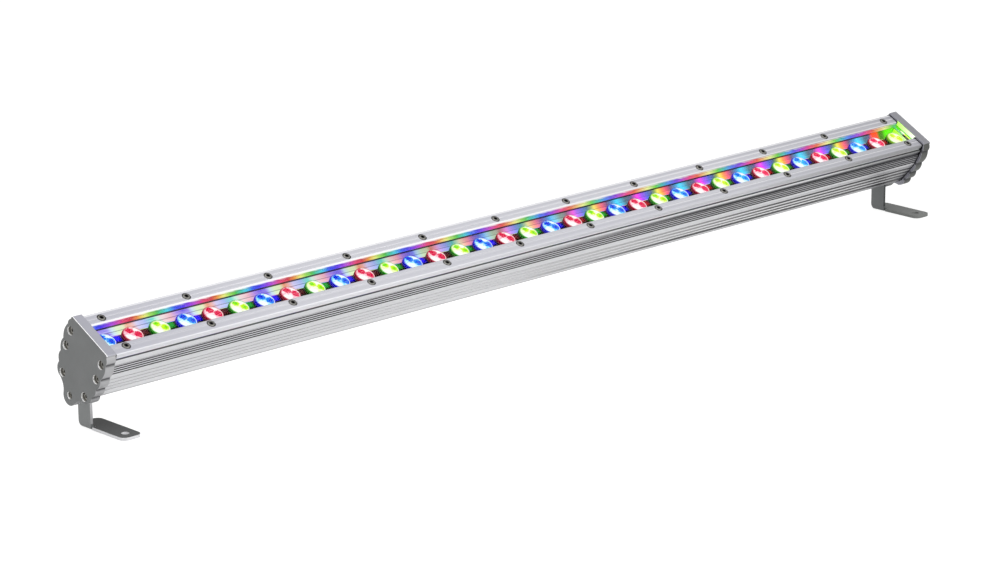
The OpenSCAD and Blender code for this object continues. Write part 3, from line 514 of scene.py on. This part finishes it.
def plain_metal(name, dark, light, metallic, roughness, cell, height, **sockets):
    """A metal whose tone varies in soft clouds and whose surface has a fine grain of the given cell in mm.
    Returns the material, its tree and shader, and the colour so far."""
    made, tree, shader = material(name, Metallic=metallic, Roughness=roughness, **sockets)
    coords = add(tree, "ShaderNodeTexCoord", out="Object")
    cloud = add(tree, "ShaderNodeTexNoise", {"Vector": coords, "Scale": 60.0, "Detail": 3.0})
    grain = add(tree, "ShaderNodeTexNoise", {"Vector": coords, "Scale": 1000.0 / cell, "Detail": 2.0})
    shade = painted(tree, colour(dark), [cloud], light)
    rough = add(tree, "ShaderNodeMath", {0: grain, 1: 0.14, 2: roughness - 0.07}, operation="MULTIPLY_ADD")
    turned = add(tree, "ShaderNodeBump", {"Height": grain, "Strength": 0.2, "Distance": height})
    tree.links.new(shade, shader.inputs["Base Color"])
    tree.links.new(rough, shader.inputs["Roughness"])
    tree.links.new(turned, shader.inputs["Normal"])
    return made, tree, shader, shade


def sheet_finish(name, leg, leg_edge, foot_back, foot_front, foot_edge):
    """Blasted sheet with a tone for the leg, and the painted light and shade of its cut edge, of both
    ends of the foot's top and of the foot's cut edge. In metres, the foot's top lies below FOOT_BELOW,
    its cut edge ahead of FOOT_AHEAD, and the leg's cut edge above LEG_ABOVE. Which way a face looks is
    read in the world, so these tones are right only at rest: on a leg turned past 60 degrees, faces
    and edges change tones."""
    made, tree, shader, shade = plain_metal(name, *leg, 0.5, 0.42, 0.9, 0.00004, Specular_IOR_Level=0.1)
    coords = add(tree, "ShaderNodeTexCoord", out="Object")
    parts = add(tree, "ShaderNodeSeparateXYZ", {0: coords}).node.outputs
    geometry = add(tree, "ShaderNodeNewGeometry", out="True Normal")
    facing = add(tree, "ShaderNodeSeparateXYZ", {0: geometry}).node.outputs
    top = add(tree, "ShaderNodeMath", {0: facing[2], 1: 0.5}, operation="GREATER_THAN")
    low = add(tree, "ShaderNodeMath", {0: parts[2], 1: FOOT_BELOW}, operation="LESS_THAN")
    ahead = add(tree, "ShaderNodeMath", {0: parts[1], 1: FOOT_AHEAD}, operation="LESS_THAN")
    raised = add(tree, "ShaderNodeMath", {0: parts[2], 1: LEG_ABOVE}, operation="GREATER_THAN")
    level = between(tree, facing[2], -0.5, 0.5)
    upright = between(tree, facing[0], -0.5, 0.5)
    plane = painted(tree, colour(foot_front), [(parts[1], -0.030, 0.012, 0.0, 1.0)], foot_back)
    shade = layered(tree, shade, [
        # painted shade on the foot's top, and painted light and shade on the cut edges
        ([top, low], plane, 1.0),
        ([level, ahead], foot_edge, 1.0),
        ([upright, raised, level], leg_edge, 1.0),
    ])
    tree.links.new(shade, shader.inputs["Base Color"])
    return made


# for each bracket: the leg's two tones, then the painted tones of the leg's cut edge, the back and the front of
# the foot's top, and the foot's cut edge
for end, *tones in (("left", ("#828484", "#8C8E8E"), "#BEBEC0", "#0A0C0C", "#4C4E4E", "#D8D8DA"),
                    ("right", ("#707272", "#7A7C7C"), "#4C4E4E", "#5E605E", "#707270", "#7A7C7A")):
    dress(end + "_bracket", sheet_finish("blasted_sheet_" + end, *tones))
turned = plain_metal("turned_stainless_screw", "#8C8A84", "#A09E98", 0.6, 0.34, 0.5, 0.00002)[0]
for name in ("left_cap_screws", "right_cap_screws", "left_pivot_bolt", "right_pivot_bolt", "left_pivot_nut",
             "right_pivot_nut", "driver_screws"):
    dress(name, turned)
button, tree, shader, shade = plain_metal("turned_button_head", "#787672", "#86847E", 0.5, 0.36, 0.5, 0.00002)
vector, x, y, z = section(tree)
away = from_screw(tree, x, add(tree, "ShaderNodeMath", {0: y}, operation="ABSOLUTE"))
# a painted shadow round each head, and painted shade in its socket
shade = painted(tree, shade, [(away, 2.6, 3.3, 0.0, 1.0)], "#1A1A1C", 0.9)
shade = painted(tree, shade, [(away, 1.7, 2.2, 1.0, 0.0)], "#08080A")
tree.links.new(shade, shader.inputs["Base Color"])
for name in ("front_clamp_screws", "rear_clamp_screws"):
    dress(name, button)
dress("board_screws", plain_metal("black_oxide_screw", "#17171A", "#222226", 0.6, 0.4, 0.5, 0.00002)[0])
print("brackets and screws dressed")

# %% [markdown]
# ## Rubber, plastics and boards
# The gaskets are silicone rubber, matt and nearly black, and where they close the lens chamber they
# take the light of the nearest lens. Gland and bushes are moulded black nylon. The driver parts lie
# inside the closed housing, so each gets a plain coat of its own: two close tones and a fine grain.


# %% Rubber and plastic materials
def polymer(name, dark, light, roughness, cell, height, **sockets):
    """A moulded plastic or rubber: two close tones in soft clouds and the grain of its mould.
    Returns the material, its tree and shader."""
    made, tree, shader = material(name, Roughness=roughness, **sockets)
    coords = add(tree, "ShaderNodeTexCoord", out="Object")
    cloud = add(tree, "ShaderNodeTexNoise", {"Vector": coords, "Scale": 45.0, "Detail": 3.0})
    grain = add(tree, "ShaderNodeTexNoise", {"Vector": coords, "Scale": 1000.0 / cell, "Detail": 3.0})
    moulded = add(tree, "ShaderNodeBump", {"Height": grain, "Strength": 0.25, "Distance": height})
    tree.links.new(painted(tree, colour(dark), [cloud], light), shader.inputs["Base Color"])
    tree.links.new(moulded, shader.inputs["Normal"])
    return made, tree, shader


dress("gland_seal", polymer("moulded_silicone_seal", "#16171C", "#202127", 0.62, 0.8, 0.00005)[0])
for name, hexa in (("left_cap_gasket", "#2C50E8"), ("right_cap_gasket", "#50D020")):
    gasket, tree, shader = polymer(
        name + "_silicone", "#08080C", "#101014", 0.62, 0.8, 0.00005, Specular_IOR_Level=0.15)
    vector, x, y, z = section(tree)
    side = add(tree, "ShaderNodeMath", {0: y}, operation="ABSOLUTE")
    window = in_window(tree, side, z, -3.0)
    shader.inputs["Emission Color"].default_value = colour(hexa)
    tree.links.new(window, shader.inputs["Emission Strength"])
    dress(name, gasket)
nylon = polymer("moulded_black_nylon", "#1C1D1F", "#262729", 0.45, 0.6, 0.00004)[0]
for name in ("gland_body", "gland_locknut", "gland_nut", "left_pivot_spacer", "right_pivot_spacer"):
    dress(name, nylon)
for name, title, dark, light, roughness, cell, coat in (
        ("driver_tray", "extruded_white_tray", "#CFCFC6", "#DADAD2", 0.5, 1.0, 0.0),
        ("driver_board", "green_solder_mask", "#145030", "#1C6238", 0.3, 2.0, 0.4),
        ("control_board", "blue_solder_mask", "#14306A", "#1C3C7C", 0.3, 2.0, 0.4),
        ("driver_parts", "moulded_driver_parts", "#26282C", "#34363C", 0.5, 1.2, 0.0),
        ("supply_wires", "brown_wire_insulation", "#5A2A20", "#6A3428", 0.4, 1.0, 0.0),
        ("lens_board_wires", "grey_wire_insulation", "#B0B0AC", "#BEBEBA", 0.4, 1.0, 0.0),
        ("thermal_pad", "silicone_thermal_pad", "#7E858C", "#8C939A", 0.7, 0.8, 0.0)):
    dress(name, polymer(title, dark, light, roughness, cell, 0.00003, Coat_Weight=coat)[0])
print("gaskets, gland, driver and wires dressed")

# %% Window seals
seal_finish, tree, shader = polymer("translucent_silicone_seal", "#3A3A44", "#484852", 0.5, 0.8, 0.00004)
vector, x, y, z = section(tree)
# painted light: the upper part of the rear seal gives off the glow of the lens row
tree.links.new(glow(tree, x, UPPER_NEAR, UPPER_FAR, WALL_SHIFT), shader.inputs["Emission Color"])
raised = add(tree, "ShaderNodeMapRange", {0: z, 1: -9.5, 2: -9.2, 3: 0.0, 4: 0.95})
rear = add(tree, "ShaderNodeMath", {0: y, 1: 0.0}, operation="GREATER_THAN")
lit = add(tree, "ShaderNodeMath", {0: raised, 1: rear}, operation="MULTIPLY")
tree.links.new(lit, shader.inputs["Emission Strength"])
for name in ("glass_top_seals", "glass_bed_seal"):
    dress(name, seal_finish)
print("window seals dressed")

# %% [markdown]
# ## Board, cups and reflectors
# The lens board is covered with black solder mask and stands at the bottom of the chamber, so
# between the lenses the chamber looks dark, apart from a patch of painted light at the right of each
# lens. The cups are smoked plastic, and towards their rims they give off the deep colour of their own
# chip as painted light. The reflectors are bright-rolled sheet: above the lenses they give off the
# second, paler rainbow as painted light.


# %% Chamber helpers
def of_chip(tree, x, blue, red, green, lead=0.5):
    """A lens's own colour from lead pitches before it on, and where x stands between that lens (0)
    and the next (1)."""
    steps = add(tree, "ShaderNodeMath", {0: x, 1: FIRST_LENS}, operation="SUBTRACT")
    scale = 1 / (3 * LENS_PITCH)
    turns = add(tree, "ShaderNodeMath", {0: steps, 1: scale, 2: lead / 3}, operation="MULTIPLY_ADD")
    place = add(tree, "ShaderNodeMath", {0: turns}, operation="FRACT")
    stops = [(0.0, blue), (1 / 3, red), (2 / 3, green)]
    own = add(tree, "ShaderNodeValToRGB", {"Fac": place}, stops=stops, blend="CONSTANT")
    lenses = add(tree, "ShaderNodeMath", {0: steps, 1: LENS_PITCH}, operation="DIVIDE")
    return own, add(tree, "ShaderNodeMath", {0: lenses}, operation="FRACT")


def spill(tree, x, y, z):
    """The light that a lens spills to its right: slanting coordinates take off 1.15 mm of x and 0.89 mm
    of y for each mm below the face. Returns the colour and its strength, which is whole in the end bay."""
    low = add(tree, "ShaderNodeMath", {0: z, 1: -1.0, 2: -10.95}, operation="MULTIPLY_ADD")
    u = add(tree, "ShaderNodeMath", {0: low, 1: -1.15, 2: x}, operation="MULTIPLY_ADD")
    v = add(tree, "ShaderNodeMath", {0: low, 1: -0.89, 2: y}, operation="MULTIPLY_ADD")
    first, part = of_chip(tree, u, "#1C00FF", "#501018", "#10A030", 0.0)
    second = of_chip(tree, u, "#1800FF", "#D80018", "#10B028", 0.0)[0]
    own = painted(tree, first, [(x, -50.0, 200.0, 0.0, 1.0)], second)
    close = add(tree, "ShaderNodeMapRange", {0: part, 1: 0.36, 2: 0.50, 3: 1.0, 4: 0.0})
    beside = add(tree, "ShaderNodeMath", {0: close, 1: between(tree, part, 0.2, 0.6)}, operation="MULTIPLY")
    across = add(tree, "ShaderNodeMath", {0: v, 1: 0.6}, operation="ADD")
    height = add(tree, "ShaderNodeMath", {0: across}, operation="ABSOLUTE")
    narrow = add(tree, "ShaderNodeMapRange", {0: height, 1: 1.8, 2: 4.6, 3: 1.0, 4: 0.0})
    spot = add(tree, "ShaderNodeMath", {0: beside, 1: narrow}, operation="MULTIPLY")
    bay = add(tree, "ShaderNodeMapRange", {0: x, 1: 480.0, 2: 485.0, 3: 0.0, 4: 1.0})
    strength = add(tree, "ShaderNodeMath", {0: spot, 1: bay}, operation="MAXIMUM")
    return painted(tree, own, [bay], "#34C400"), strength


print("chamber helpers ready")

# %% Board and cups
board_finish, tree, shader = material("black_solder_mask", Roughness=0.5, Specular_IOR_Level=0.1)
vector, x, y, z = section(tree)
speckle = stretched(tree, vector, (0.4, 0.4, 0.4), Detail=3.0)
tree.links.new(painted(tree, colour("#08080A"), [speckle], "#121216"), shader.inputs["Base Color"])
spilt, strength = spill(tree, x, y, z)
tree.links.new(spilt, shader.inputs["Emission Color"])
tree.links.new(strength, shader.inputs["Emission Strength"])
dress("lens_board", board_finish)

cup_finish, tree, shader = polymer(
    "smoked_moulded_cup", "#060608", "#0C0C10", 0.5, 0.8, 0.00004, Specular_IOR_Level=0.1)
vector, x, y, z = section(tree)
own = of_chip(tree, x, "#1208C8", "#780428", "#0A6A12")[0]
spilt, strength = spill(tree, x, y, z)
# painted light: the upper part of the cup gives off its own chip's deep colour, lower down the spilt light
rim = add(tree, "ShaderNodeMapRange", {0: z, 1: -14.8, 2: -12.9, 3: 0.0, 4: 0.8})
top = add(tree, "ShaderNodeMath", {0: z, 1: -14.8}, operation="GREATER_THAN")
lit = add(tree, "ShaderNodeMath", {0: rim, 1: strength}, operation="MAXIMUM")
tree.links.new(painted(tree, spilt, [top], own), shader.inputs["Emission Color"])
tree.links.new(lit, shader.inputs["Emission Strength"])
dress("lens_cups", cup_finish)
print("board and cups dressed")

# %% Reflectors
reflector_finish, tree, shader = material("bright_rolled_reflector", Metallic=1.0, Roughness=0.25)
vector, x, y, z = section(tree)
rolled = stretched(tree, vector, (0.01, 2.0, 2.0), Detail=2.0)
tree.links.new(painted(tree, colour("#242428"), [rolled], "#303034"), shader.inputs["Base Color"])
streaks = stretched(tree, vector, (0.05, 0.9, 0.9), Detail=3.0)
along = add(tree, "ShaderNodeMath", {0: z, 1: 0.8, 2: 8.0}, operation="MULTIPLY_ADD")
u = add(tree, "ShaderNodeMath", {0: x, 1: along}, operation="ADD")
spilt, strength = spill(tree, x, y, z)
shown = layered(tree, glow(tree, u, LOWER_NEAR, LOWER_FAR, REFLECTOR_SHIFT), [
    # painted white blots of light, mostly at the left end
    ([(streaks, 0.35, 0.7, 0.0, 0.5), (x, -450.0, -150.0, 0.9, 0.15)], "#FFFFFF", 1.0),
    # painted shade in the glow: the greyer upper part, the dark line under it and the dark top edge
    ([(z, -15.8, -15.0, 0.0, 1.0), (x, -350.0, -100.0, 0.05, 0.25)], "#484860", 1.0),
    ([between(tree, z, -16.8, -15.8), (x, 100.0, 400.0, 1.0, 0.3)], "#3C3C54", 0.5),
    ([(z, -11.0, -10.7, 0.0, 1.0)], "#0C0C14", 0.9),
    # what the lenses spill on its foot
    ([(z, -20.5, -18.5, 1.0, 0.0), strength], spilt, 1.0),
    # painted light of orange, dark green and green in the last bay
    ([(u, 451.0, 456.0, 0.0, 0.95)], "#F84C08", 1.0),
    ([(u, 462.0, 466.0, 0.0, 0.95)], "#1C7A1C", 1.0),
    ([(u, 470.0, 475.0, 0.0, 0.95)], "#50D800", 1.0),
])
lit = add(tree, "ShaderNodeMapRange", {0: x, 1: -100.0, 2: 150.0, 3: 1.08, 4: 1.45})
tree.links.new(shown, shader.inputs["Emission Color"])
tree.links.new(lit, shader.inputs["Emission Strength"])
for name in ("front_reflector", "rear_reflector"):
    dress(name, reflector_finish)
print("reflectors dressed")

# %% [markdown]
# ## Cover glass
# The window is a strip of toughened glass. A Principled shader with full transmission, the index of
# soda-lime glass and no roughness bends the view of the lenses below as the real pane does. The
# lenses look deep in colour with no veil of white over them, as behind a pane with a coating against
# reflections, a quarter of a wave thick, which the thin film gives.

# %% Glass
glass_finish, tree, shader = material("toughened_glass", Roughness=0.0, Transmission_Weight=1.0, IOR=1.5,
    Specular_Tint=(0.25, 0.25, 0.25, 1.0), Thin_Film_Thickness=110.0, Thin_Film_IOR=1.25)
coords = add(tree, "ShaderNodeTexCoord", out="Object")
tint = add(tree, "ShaderNodeTexNoise", {"Vector": coords, "Scale": 8.0, "Detail": 1.0})
tree.links.new(painted(tree, colour("#F7FDFA"), [tint], "#FAFEFC"), shader.inputs["Base Color"])
dress("cover_glass", glass_finish)
print("glass dressed")

# %% [markdown]
# ## The lenses
# Each lens is a moulded cone that gathers a chip's light. From above it shows a bright rim, a flat
# face with a raised inner disc, and below that the deep colour of its cone. It is a surface of
# revolution: a profile of radius and depth, turned about the lens axis with numpy. The face has
# four shallow facets, so the inner disc's radius follows a rounded square a little.

# %% Lens surfaces
PROFILE = np.array([
    [0.0, -10.95], [2.2, -10.93], [4.2, -10.92], [5.6, -10.92], [6.0, -10.98], [6.3, -11.2], [6.9, -11.38],
    [7.7, -11.42], [8.4, -11.4], [8.8, -11.46], [8.97, -11.7], [9.0, -12.1], [9.0, -12.95], [7.8, -13.0],
    [7.2, -14.4], [6.5, -15.9], [5.8, -17.4], [4.9, -18.95], [3.1, -18.98], [3.0, -16.7], [0.0, -16.6]])
STEPS = 56
FACE_WIDTH = 18


def lens_mesh(name, centres):
    """Surfaces of revolution. Each point is (x0 + r cos a, r sin a, z), with r and z from the profile
    and the inner disc's radius times 1 + 0.03 cos 4a. The UV is the place on the face over its width."""
    angle = np.linspace(0, 2 * math.pi, STEPS, endpoint=False)
    radius, depth = PROFILE[1:-1, 0], PROFILE[1:-1, 1]
    facet = 1 + np.where((radius > 4) & (radius < 6.5), 0.03, 0.0)[:, None] * np.cos(4 * angle)[None, :]
    ring = np.stack([radius[:, None] * facet * np.cos(angle), radius[:, None] * facet * np.sin(angle),
                     np.broadcast_to(depth[:, None], (len(depth), STEPS))], axis=-1).reshape(-1, 3)
    one = np.concatenate([ring, [[0, 0, PROFILE[0, 1]], [0, 0, PROFILE[-1, 1]]]])
    rows, cols = np.meshgrid(np.arange(len(depth) - 1), np.arange(STEPS), indexing="ij")
    here, over = rows * STEPS + cols, rows * STEPS + (cols + 1) % STEPS
    quads = np.stack([here, here + STEPS, over + STEPS, over], axis=-1).reshape(-1, 4)
    first, after, last = np.arange(STEPS), (np.arange(STEPS) + 1) % STEPS, (len(depth) - 1) * STEPS
    top = np.stack([np.full(STEPS, len(ring)), first, after], axis=-1)
    low = np.stack([np.full(STEPS, len(ring) + 1), last + after, last + first], axis=-1)
    points = np.concatenate([one + [x0, 0, 0] for x0 in centres])
    shift = np.arange(len(centres)) * len(one)
    four = (quads[None] + shift[:, None, None]).reshape(-1, 4)
    three = (np.concatenate([top, low])[None] + shift[:, None, None]).reshape(-1, 3)
    mesh = bpy.data.meshes.new(name)
    mesh.from_pydata(to_row(points).tolist(), [], four.tolist() + three.tolist())
    mesh.update()
    local = np.tile(one[:, :2], (len(centres), 1)) / FACE_WIDTH + 0.5
    loops = np.zeros(len(mesh.loops), np.int32)
    mesh.loops.foreach_get("vertex_index", loops)
    uv = mesh.uv_layers.new(name="face")
    uv.data.foreach_set("uv", local[loops].astype(np.float32).ravel())
    mesh.polygons.foreach_set("use_smooth", np.ones(len(mesh.polygons), bool))
    piece = bpy.data.objects.new(name, mesh)
    bpy.context.scene.collection.objects.link(piece)
    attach(piece, "lamp")
    return piece


def places(first):
    """Centres of every third lens along the row."""
    return FIRST_LENS + LENS_PITCH * np.arange(first, LENS_COUNT, 3)


for name, first in (("blue", 0), ("red", 1), ("green", 2)):
    piece = lens_mesh("lens_row_" + name, places(first))
    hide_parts(name + "_lenses")
    print(piece.name, len(piece.data.polygons), "faces")

# %% [markdown]
# ## Lit lens material
# A lit lens is brightest where its cone throws the chip straight at the eye, and shows the pure
# colour elsewhere. On the face, the UV gives the distance from a bright spot and from two deeper
# patches. Outside the face, the cone glows dimly in the deep colour of the chip.


# %% Lens material
LENS_LIGHT = 1.12
CHIP_LIGHT = 1.4


def lens_finish(name, deep, core, patch, pale, side, spread, core_far, patch_far):
    """Moulded acrylic over a lit chip. The places on the face are in mm from the lens's middle, x along
    the lamp and y to the back: two deep patches as wide as the spread, each with a core, a broad white
    pool, slanting white streaks, and a white line inside the rim. The lamp's own x makes each lens
    differ, and carries core and patch over to their far tones on the right half of the lamp."""
    made, tree, shader = material(name, Roughness=0.15, IOR=1.49, Specular_IOR_Level=0.1)
    uv = add(tree, "ShaderNodeUVMap", uv_map="face")
    vector, x, y, z = section(tree)
    own = add(tree, "ShaderNodeMath", {0: x, 1: 0.03}, operation="MULTIPLY")
    middle = add(tree, "ShaderNodeCombineXYZ", {0: -FACE_WIDTH / 2, 1: -FACE_WIDTH / 2, 2: own})
    place = add(tree, "ShaderNodeVectorMath", {0: uv, 1: (FACE_WIDTH, FACE_WIDTH, 0), 2: middle},
                operation="MULTIPLY_ADD")
    wobble = add(tree, "ShaderNodeTexNoise", {"Vector": place, "Scale": 0.45, "Detail": 4.0}, out="Color")
    shifted = add(tree, "ShaderNodeVectorMath", {0: wobble, 1: (4.4, 4.4, 0), 2: place},
                  operation="MULTIPLY_ADD")
    level = add(tree, "ShaderNodeVectorMath", {0: shifted, 1: (1, 1, 0)}, operation="MULTIPLY")

    distance = (x, 50.0, 300.0, 0.0, 1.0)
    core = painted(tree, colour(core), [distance], core_far)
    patch = painted(tree, colour(patch), [distance], patch_far)

    def pool(px, py, size, sharp):
        """The mask of a pool: 1 within it, falling to 0 at its size in mm. The wobble moves every
        point by 2.2 mm on average, so the pool's middle is moved as far."""
        moved = (px + 2.2, py + 2.2, 0)
        away = add(tree, "ShaderNodeVectorMath", {0: level, 1: moved}, out="Value", operation="DISTANCE")
        return away, size * sharp, size, 1.0, 0.0

    flat = add(tree, "ShaderNodeVectorMath", {0: place, 1: (1, 1, 0)}, operation="MULTIPLY")
    radius = add(tree, "ShaderNodeVectorMath", {0: flat}, out="Value", operation="LENGTH")
    slanted = add(tree, "ShaderNodeMapping", {
        "Vector": place, "Rotation": (0, 0, math.radians(-48)), "Scale": (0.22, 1.0, 1.0)})
    streaks = add(tree, "ShaderNodeTexNoise", {"Vector": slanted, "Scale": 1.0, "Detail": 3.0})
    along = add(tree, "ShaderNodeSeparateXYZ", {0: place})
    right_side = add(tree, "ShaderNodeMath", {0: along, 1: 1.0}, operation="GREATER_THAN")
    past_rim = add(tree, "ShaderNodeMath", {0: radius, 1: 8.4}, operation="GREATER_THAN")
    cone = add(tree, "ShaderNodeMath", {0: radius, 1: 8.97}, operation="GREATER_THAN")
    shown = layered(tree, colour(pale), [
        # white streaks and the broad white pool
        ([(streaks, 0.42, 0.60, 0.0, 0.8)], "#FFFFFF", 1.0),
        ([pool(-5.5, -4.0, 5.2, 0.7)], "#FFFFFF", 0.85),
        # the two deep patches and their cores
        ([pool(-1.0, 4.3, spread, 0.85)], patch, 1.0),
        ([pool(4.0, -1.6, spread + 0.4, 0.85)], patch, 1.0),
        ([pool(-1.4, 4.9, spread * 0.75, 0.6)], core, 1.0),
        ([pool(4.2, -2.0, spread * 0.7, 0.5)], core, 0.85),
        # a small white pool at the back, and pale streaks over all
        ([pool(4.6, 4.4, 2.9, 0.6)], "#FFFFFF", 0.8),
        ([(streaks, 0.58, 0.66, 0.0, 0.4)], pale, 1.0),
        # the deeper rim with its white line, what lies past it, and the cone's side
        ([(radius, 7.2, 8.0, 0.0, 0.6)], deep, 1.0),
        ([between(tree, radius, 7.75, 8.2), right_side], "#FFFFFF", 0.85),
        ([past_rim], deep, 1.0),
        ([cone], side, 1.0),
        # the last lens of the row is a little yellower
        ([(x, 463.0, 466.0, 0.0, 0.2)], "#E8F800", 1.0),
    ])
    tree.links.new(shown, shader.inputs["Emission Color"])
    shader.inputs["Base Color"].default_value = colour("#060608")
    shader.inputs["Emission Strength"].default_value = LENS_LIGHT
    ripple = add(tree, "ShaderNodeBump", {"Height": wobble, "Strength": 0.2, "Distance": 0.0002})
    tree.links.new(ripple, shader.inputs["Normal"])
    return made


for name, *tones in (
        ("blue", "#1414D0", "#0020DC", "#0078F0", "#70DCF8", "#0C10A0", 3.9, "#0068E8", "#1CB0FF"),
        ("red", "#B00030", "#D80040", "#E0004C", "#FFA4BC", "#6C0424", 3.8, "#E80048", "#F41860"),
        ("green", "#30A018", "#6CDC00", "#C8F000", "#F0FCA8", "#125C10", 3.4, "#B0E818", "#E0F420")):
    dress("lens_row_" + name, lens_finish(f"lit_{name}_acrylic", *tones))


def chip_finish(name, hexa):
    """A lit chip under its silicone dome: strong colour with a white core in its grain."""
    made, tree, shader = material(name, Roughness=0.3, Emission_Strength=CHIP_LIGHT)
    coords = add(tree, "ShaderNodeTexCoord", out="Object")
    core = add(tree, "ShaderNodeTexNoise", {"Vector": coords, "Scale": 900.0, "Detail": 1.0})
    lit = painted(tree, colour(hexa), [core], "#FFFFFF", 0.5)
    tree.links.new(lit, shader.inputs["Emission Color"])
    tree.links.new(lit, shader.inputs["Base Color"])
    return made


for name, hexa in (("blue", "#2050FF"), ("red", "#FF1838"), ("green", "#70FF10")):
    dress(name + "_leds", chip_finish(f"lit_{name}_chip", hexa))
print("lenses and chips dressed")

# %% [markdown]
# ## Softened edges
# No real edge is perfectly sharp, and the thin bright line along an edge is what makes a metal part
# look solid. A CAD mesh is loose triangles, so a Weld joins them first and a small Bevel rounds
# every edge that turns by more than 30 degrees.

# %% Bevels
EDGE_WIDTH = 0.0004
EDGE_SEGMENTS = 2
for name in ("left_end_cap", "right_end_cap", "left_bracket", "right_bracket"):
    weld = nodes[name].modifiers.new("weld", "WELD")
    weld.merge_threshold = 1e-6
    rounded = nodes[name].modifiers.new("bevel", "BEVEL")
    rounded.width, rounded.segments = EDGE_WIDTH, EDGE_SEGMENTS
    rounded.limit_method, rounded.angle_limit = "ANGLE", math.radians(30)
    rounded.harden_normals = False
print("edges softened")

# %% [markdown]
# ## Floor, background and light
# The photograph has a plain white background. The floor is a large white sheet that keeps the soft
# shadow under the lamp. Camera, mirror and glass rays see the world as white, while its light on
# the object is weaker, so the metal keeps its greys. The floor gives off a share of that white.


# %% Floor and world
def seen_rays(tree):
    """1 for camera, mirror and glass rays, which see the white background, else 0."""
    path = add(tree, "ShaderNodeLightPath").node.outputs
    direct, mirrored = path["Is Camera Ray"], path["Is Glossy Ray"]
    seen = add(tree, "ShaderNodeMath", {0: direct, 1: mirrored}, operation="MAXIMUM")
    return add(tree, "ShaderNodeMath", {0: seen, 1: path["Is Transmission Ray"]}, operation="MAXIMUM")


FLOOR_SHARE, FLOOR_LIGHT = 0.72, 1.25
WORLD_DIM, WORLD_WHITE = 0.34, 1.0
floor_mesh = bpy.data.meshes.new("floor")
reach = 14.0
corners = [(-reach, -reach, 0), (reach, -reach, 0), (reach, reach, 0), (-reach, reach, 0)]
floor_mesh.from_pydata(corners, [], [(0, 1, 2, 3)])
floor = bpy.data.objects.new("floor", floor_mesh)
floor.location = (0, 0, -0.0004)
bpy.context.scene.collection.objects.link(floor)
floor_paper = bpy.data.materials.new("white_paper_sweep")
floor_paper.use_nodes = True
tree = floor_paper.node_tree
tree.nodes.clear()
paper = add(tree, "ShaderNodeBsdfDiffuse", {"Color": colour("#F4F4F4")})
bright = add(tree, "ShaderNodeEmission", {"Color": (1, 1, 1, 1), "Strength": FLOOR_LIGHT})
share = add(tree, "ShaderNodeMath", {0: seen_rays(tree), 1: FLOOR_SHARE}, operation="MULTIPLY")
blend = add(tree, "ShaderNodeMixShader", {0: share, 1: paper, 2: bright})
add(tree, "ShaderNodeOutputMaterial", {0: blend})
floor_mesh.materials.append(floor_paper)

world = bpy.data.worlds.new("studio")
world.use_nodes = True
bpy.context.scene.world = world
tree = world.node_tree
tree.nodes.clear()
dim = add(tree, "ShaderNodeBackground", {"Color": (1, 1, 1, 1), "Strength": WORLD_DIM})
white = add(tree, "ShaderNodeBackground", {"Color": (1, 1, 1, 1), "Strength": WORLD_WHITE})
blend = add(tree, "ShaderNodeMixShader", {0: seen_rays(tree), 1: dim, 2: white})
add(tree, "ShaderNodeOutputWorld", {0: blend})
print("floor and world ready")


# %% Lamps
def softbox(name, at, target, size, power):
    """A square area lamp at a place, turned to look at the target."""
    data = bpy.data.lights.new(name, "AREA")
    data.shape, data.size, data.size_y, data.energy = "RECTANGLE", size[0], size[1], power
    lamp = bpy.data.objects.new(name, data)
    lamp.location = at
    towards = np.array(target, float) - np.array(at, float)
    flat = math.hypot(towards[0], towards[1])
    pitch, turn = math.atan2(towards[2], flat), math.atan2(towards[1], towards[0])
    lamp.rotation_euler = (math.pi / 2 + pitch, 0, turn - math.pi / 2)
    bpy.context.scene.collection.objects.link(lamp)


softbox("front_softbox", (0.5, -2.6, 1.1), (0, 0, 0.05), (2.8, 1.4), 36)
softbox("top_softbox", (-1.0, -0.2, 2.4), (0, 0, 0.05), (2.8, 1.6), 44)
print("lamps ready")
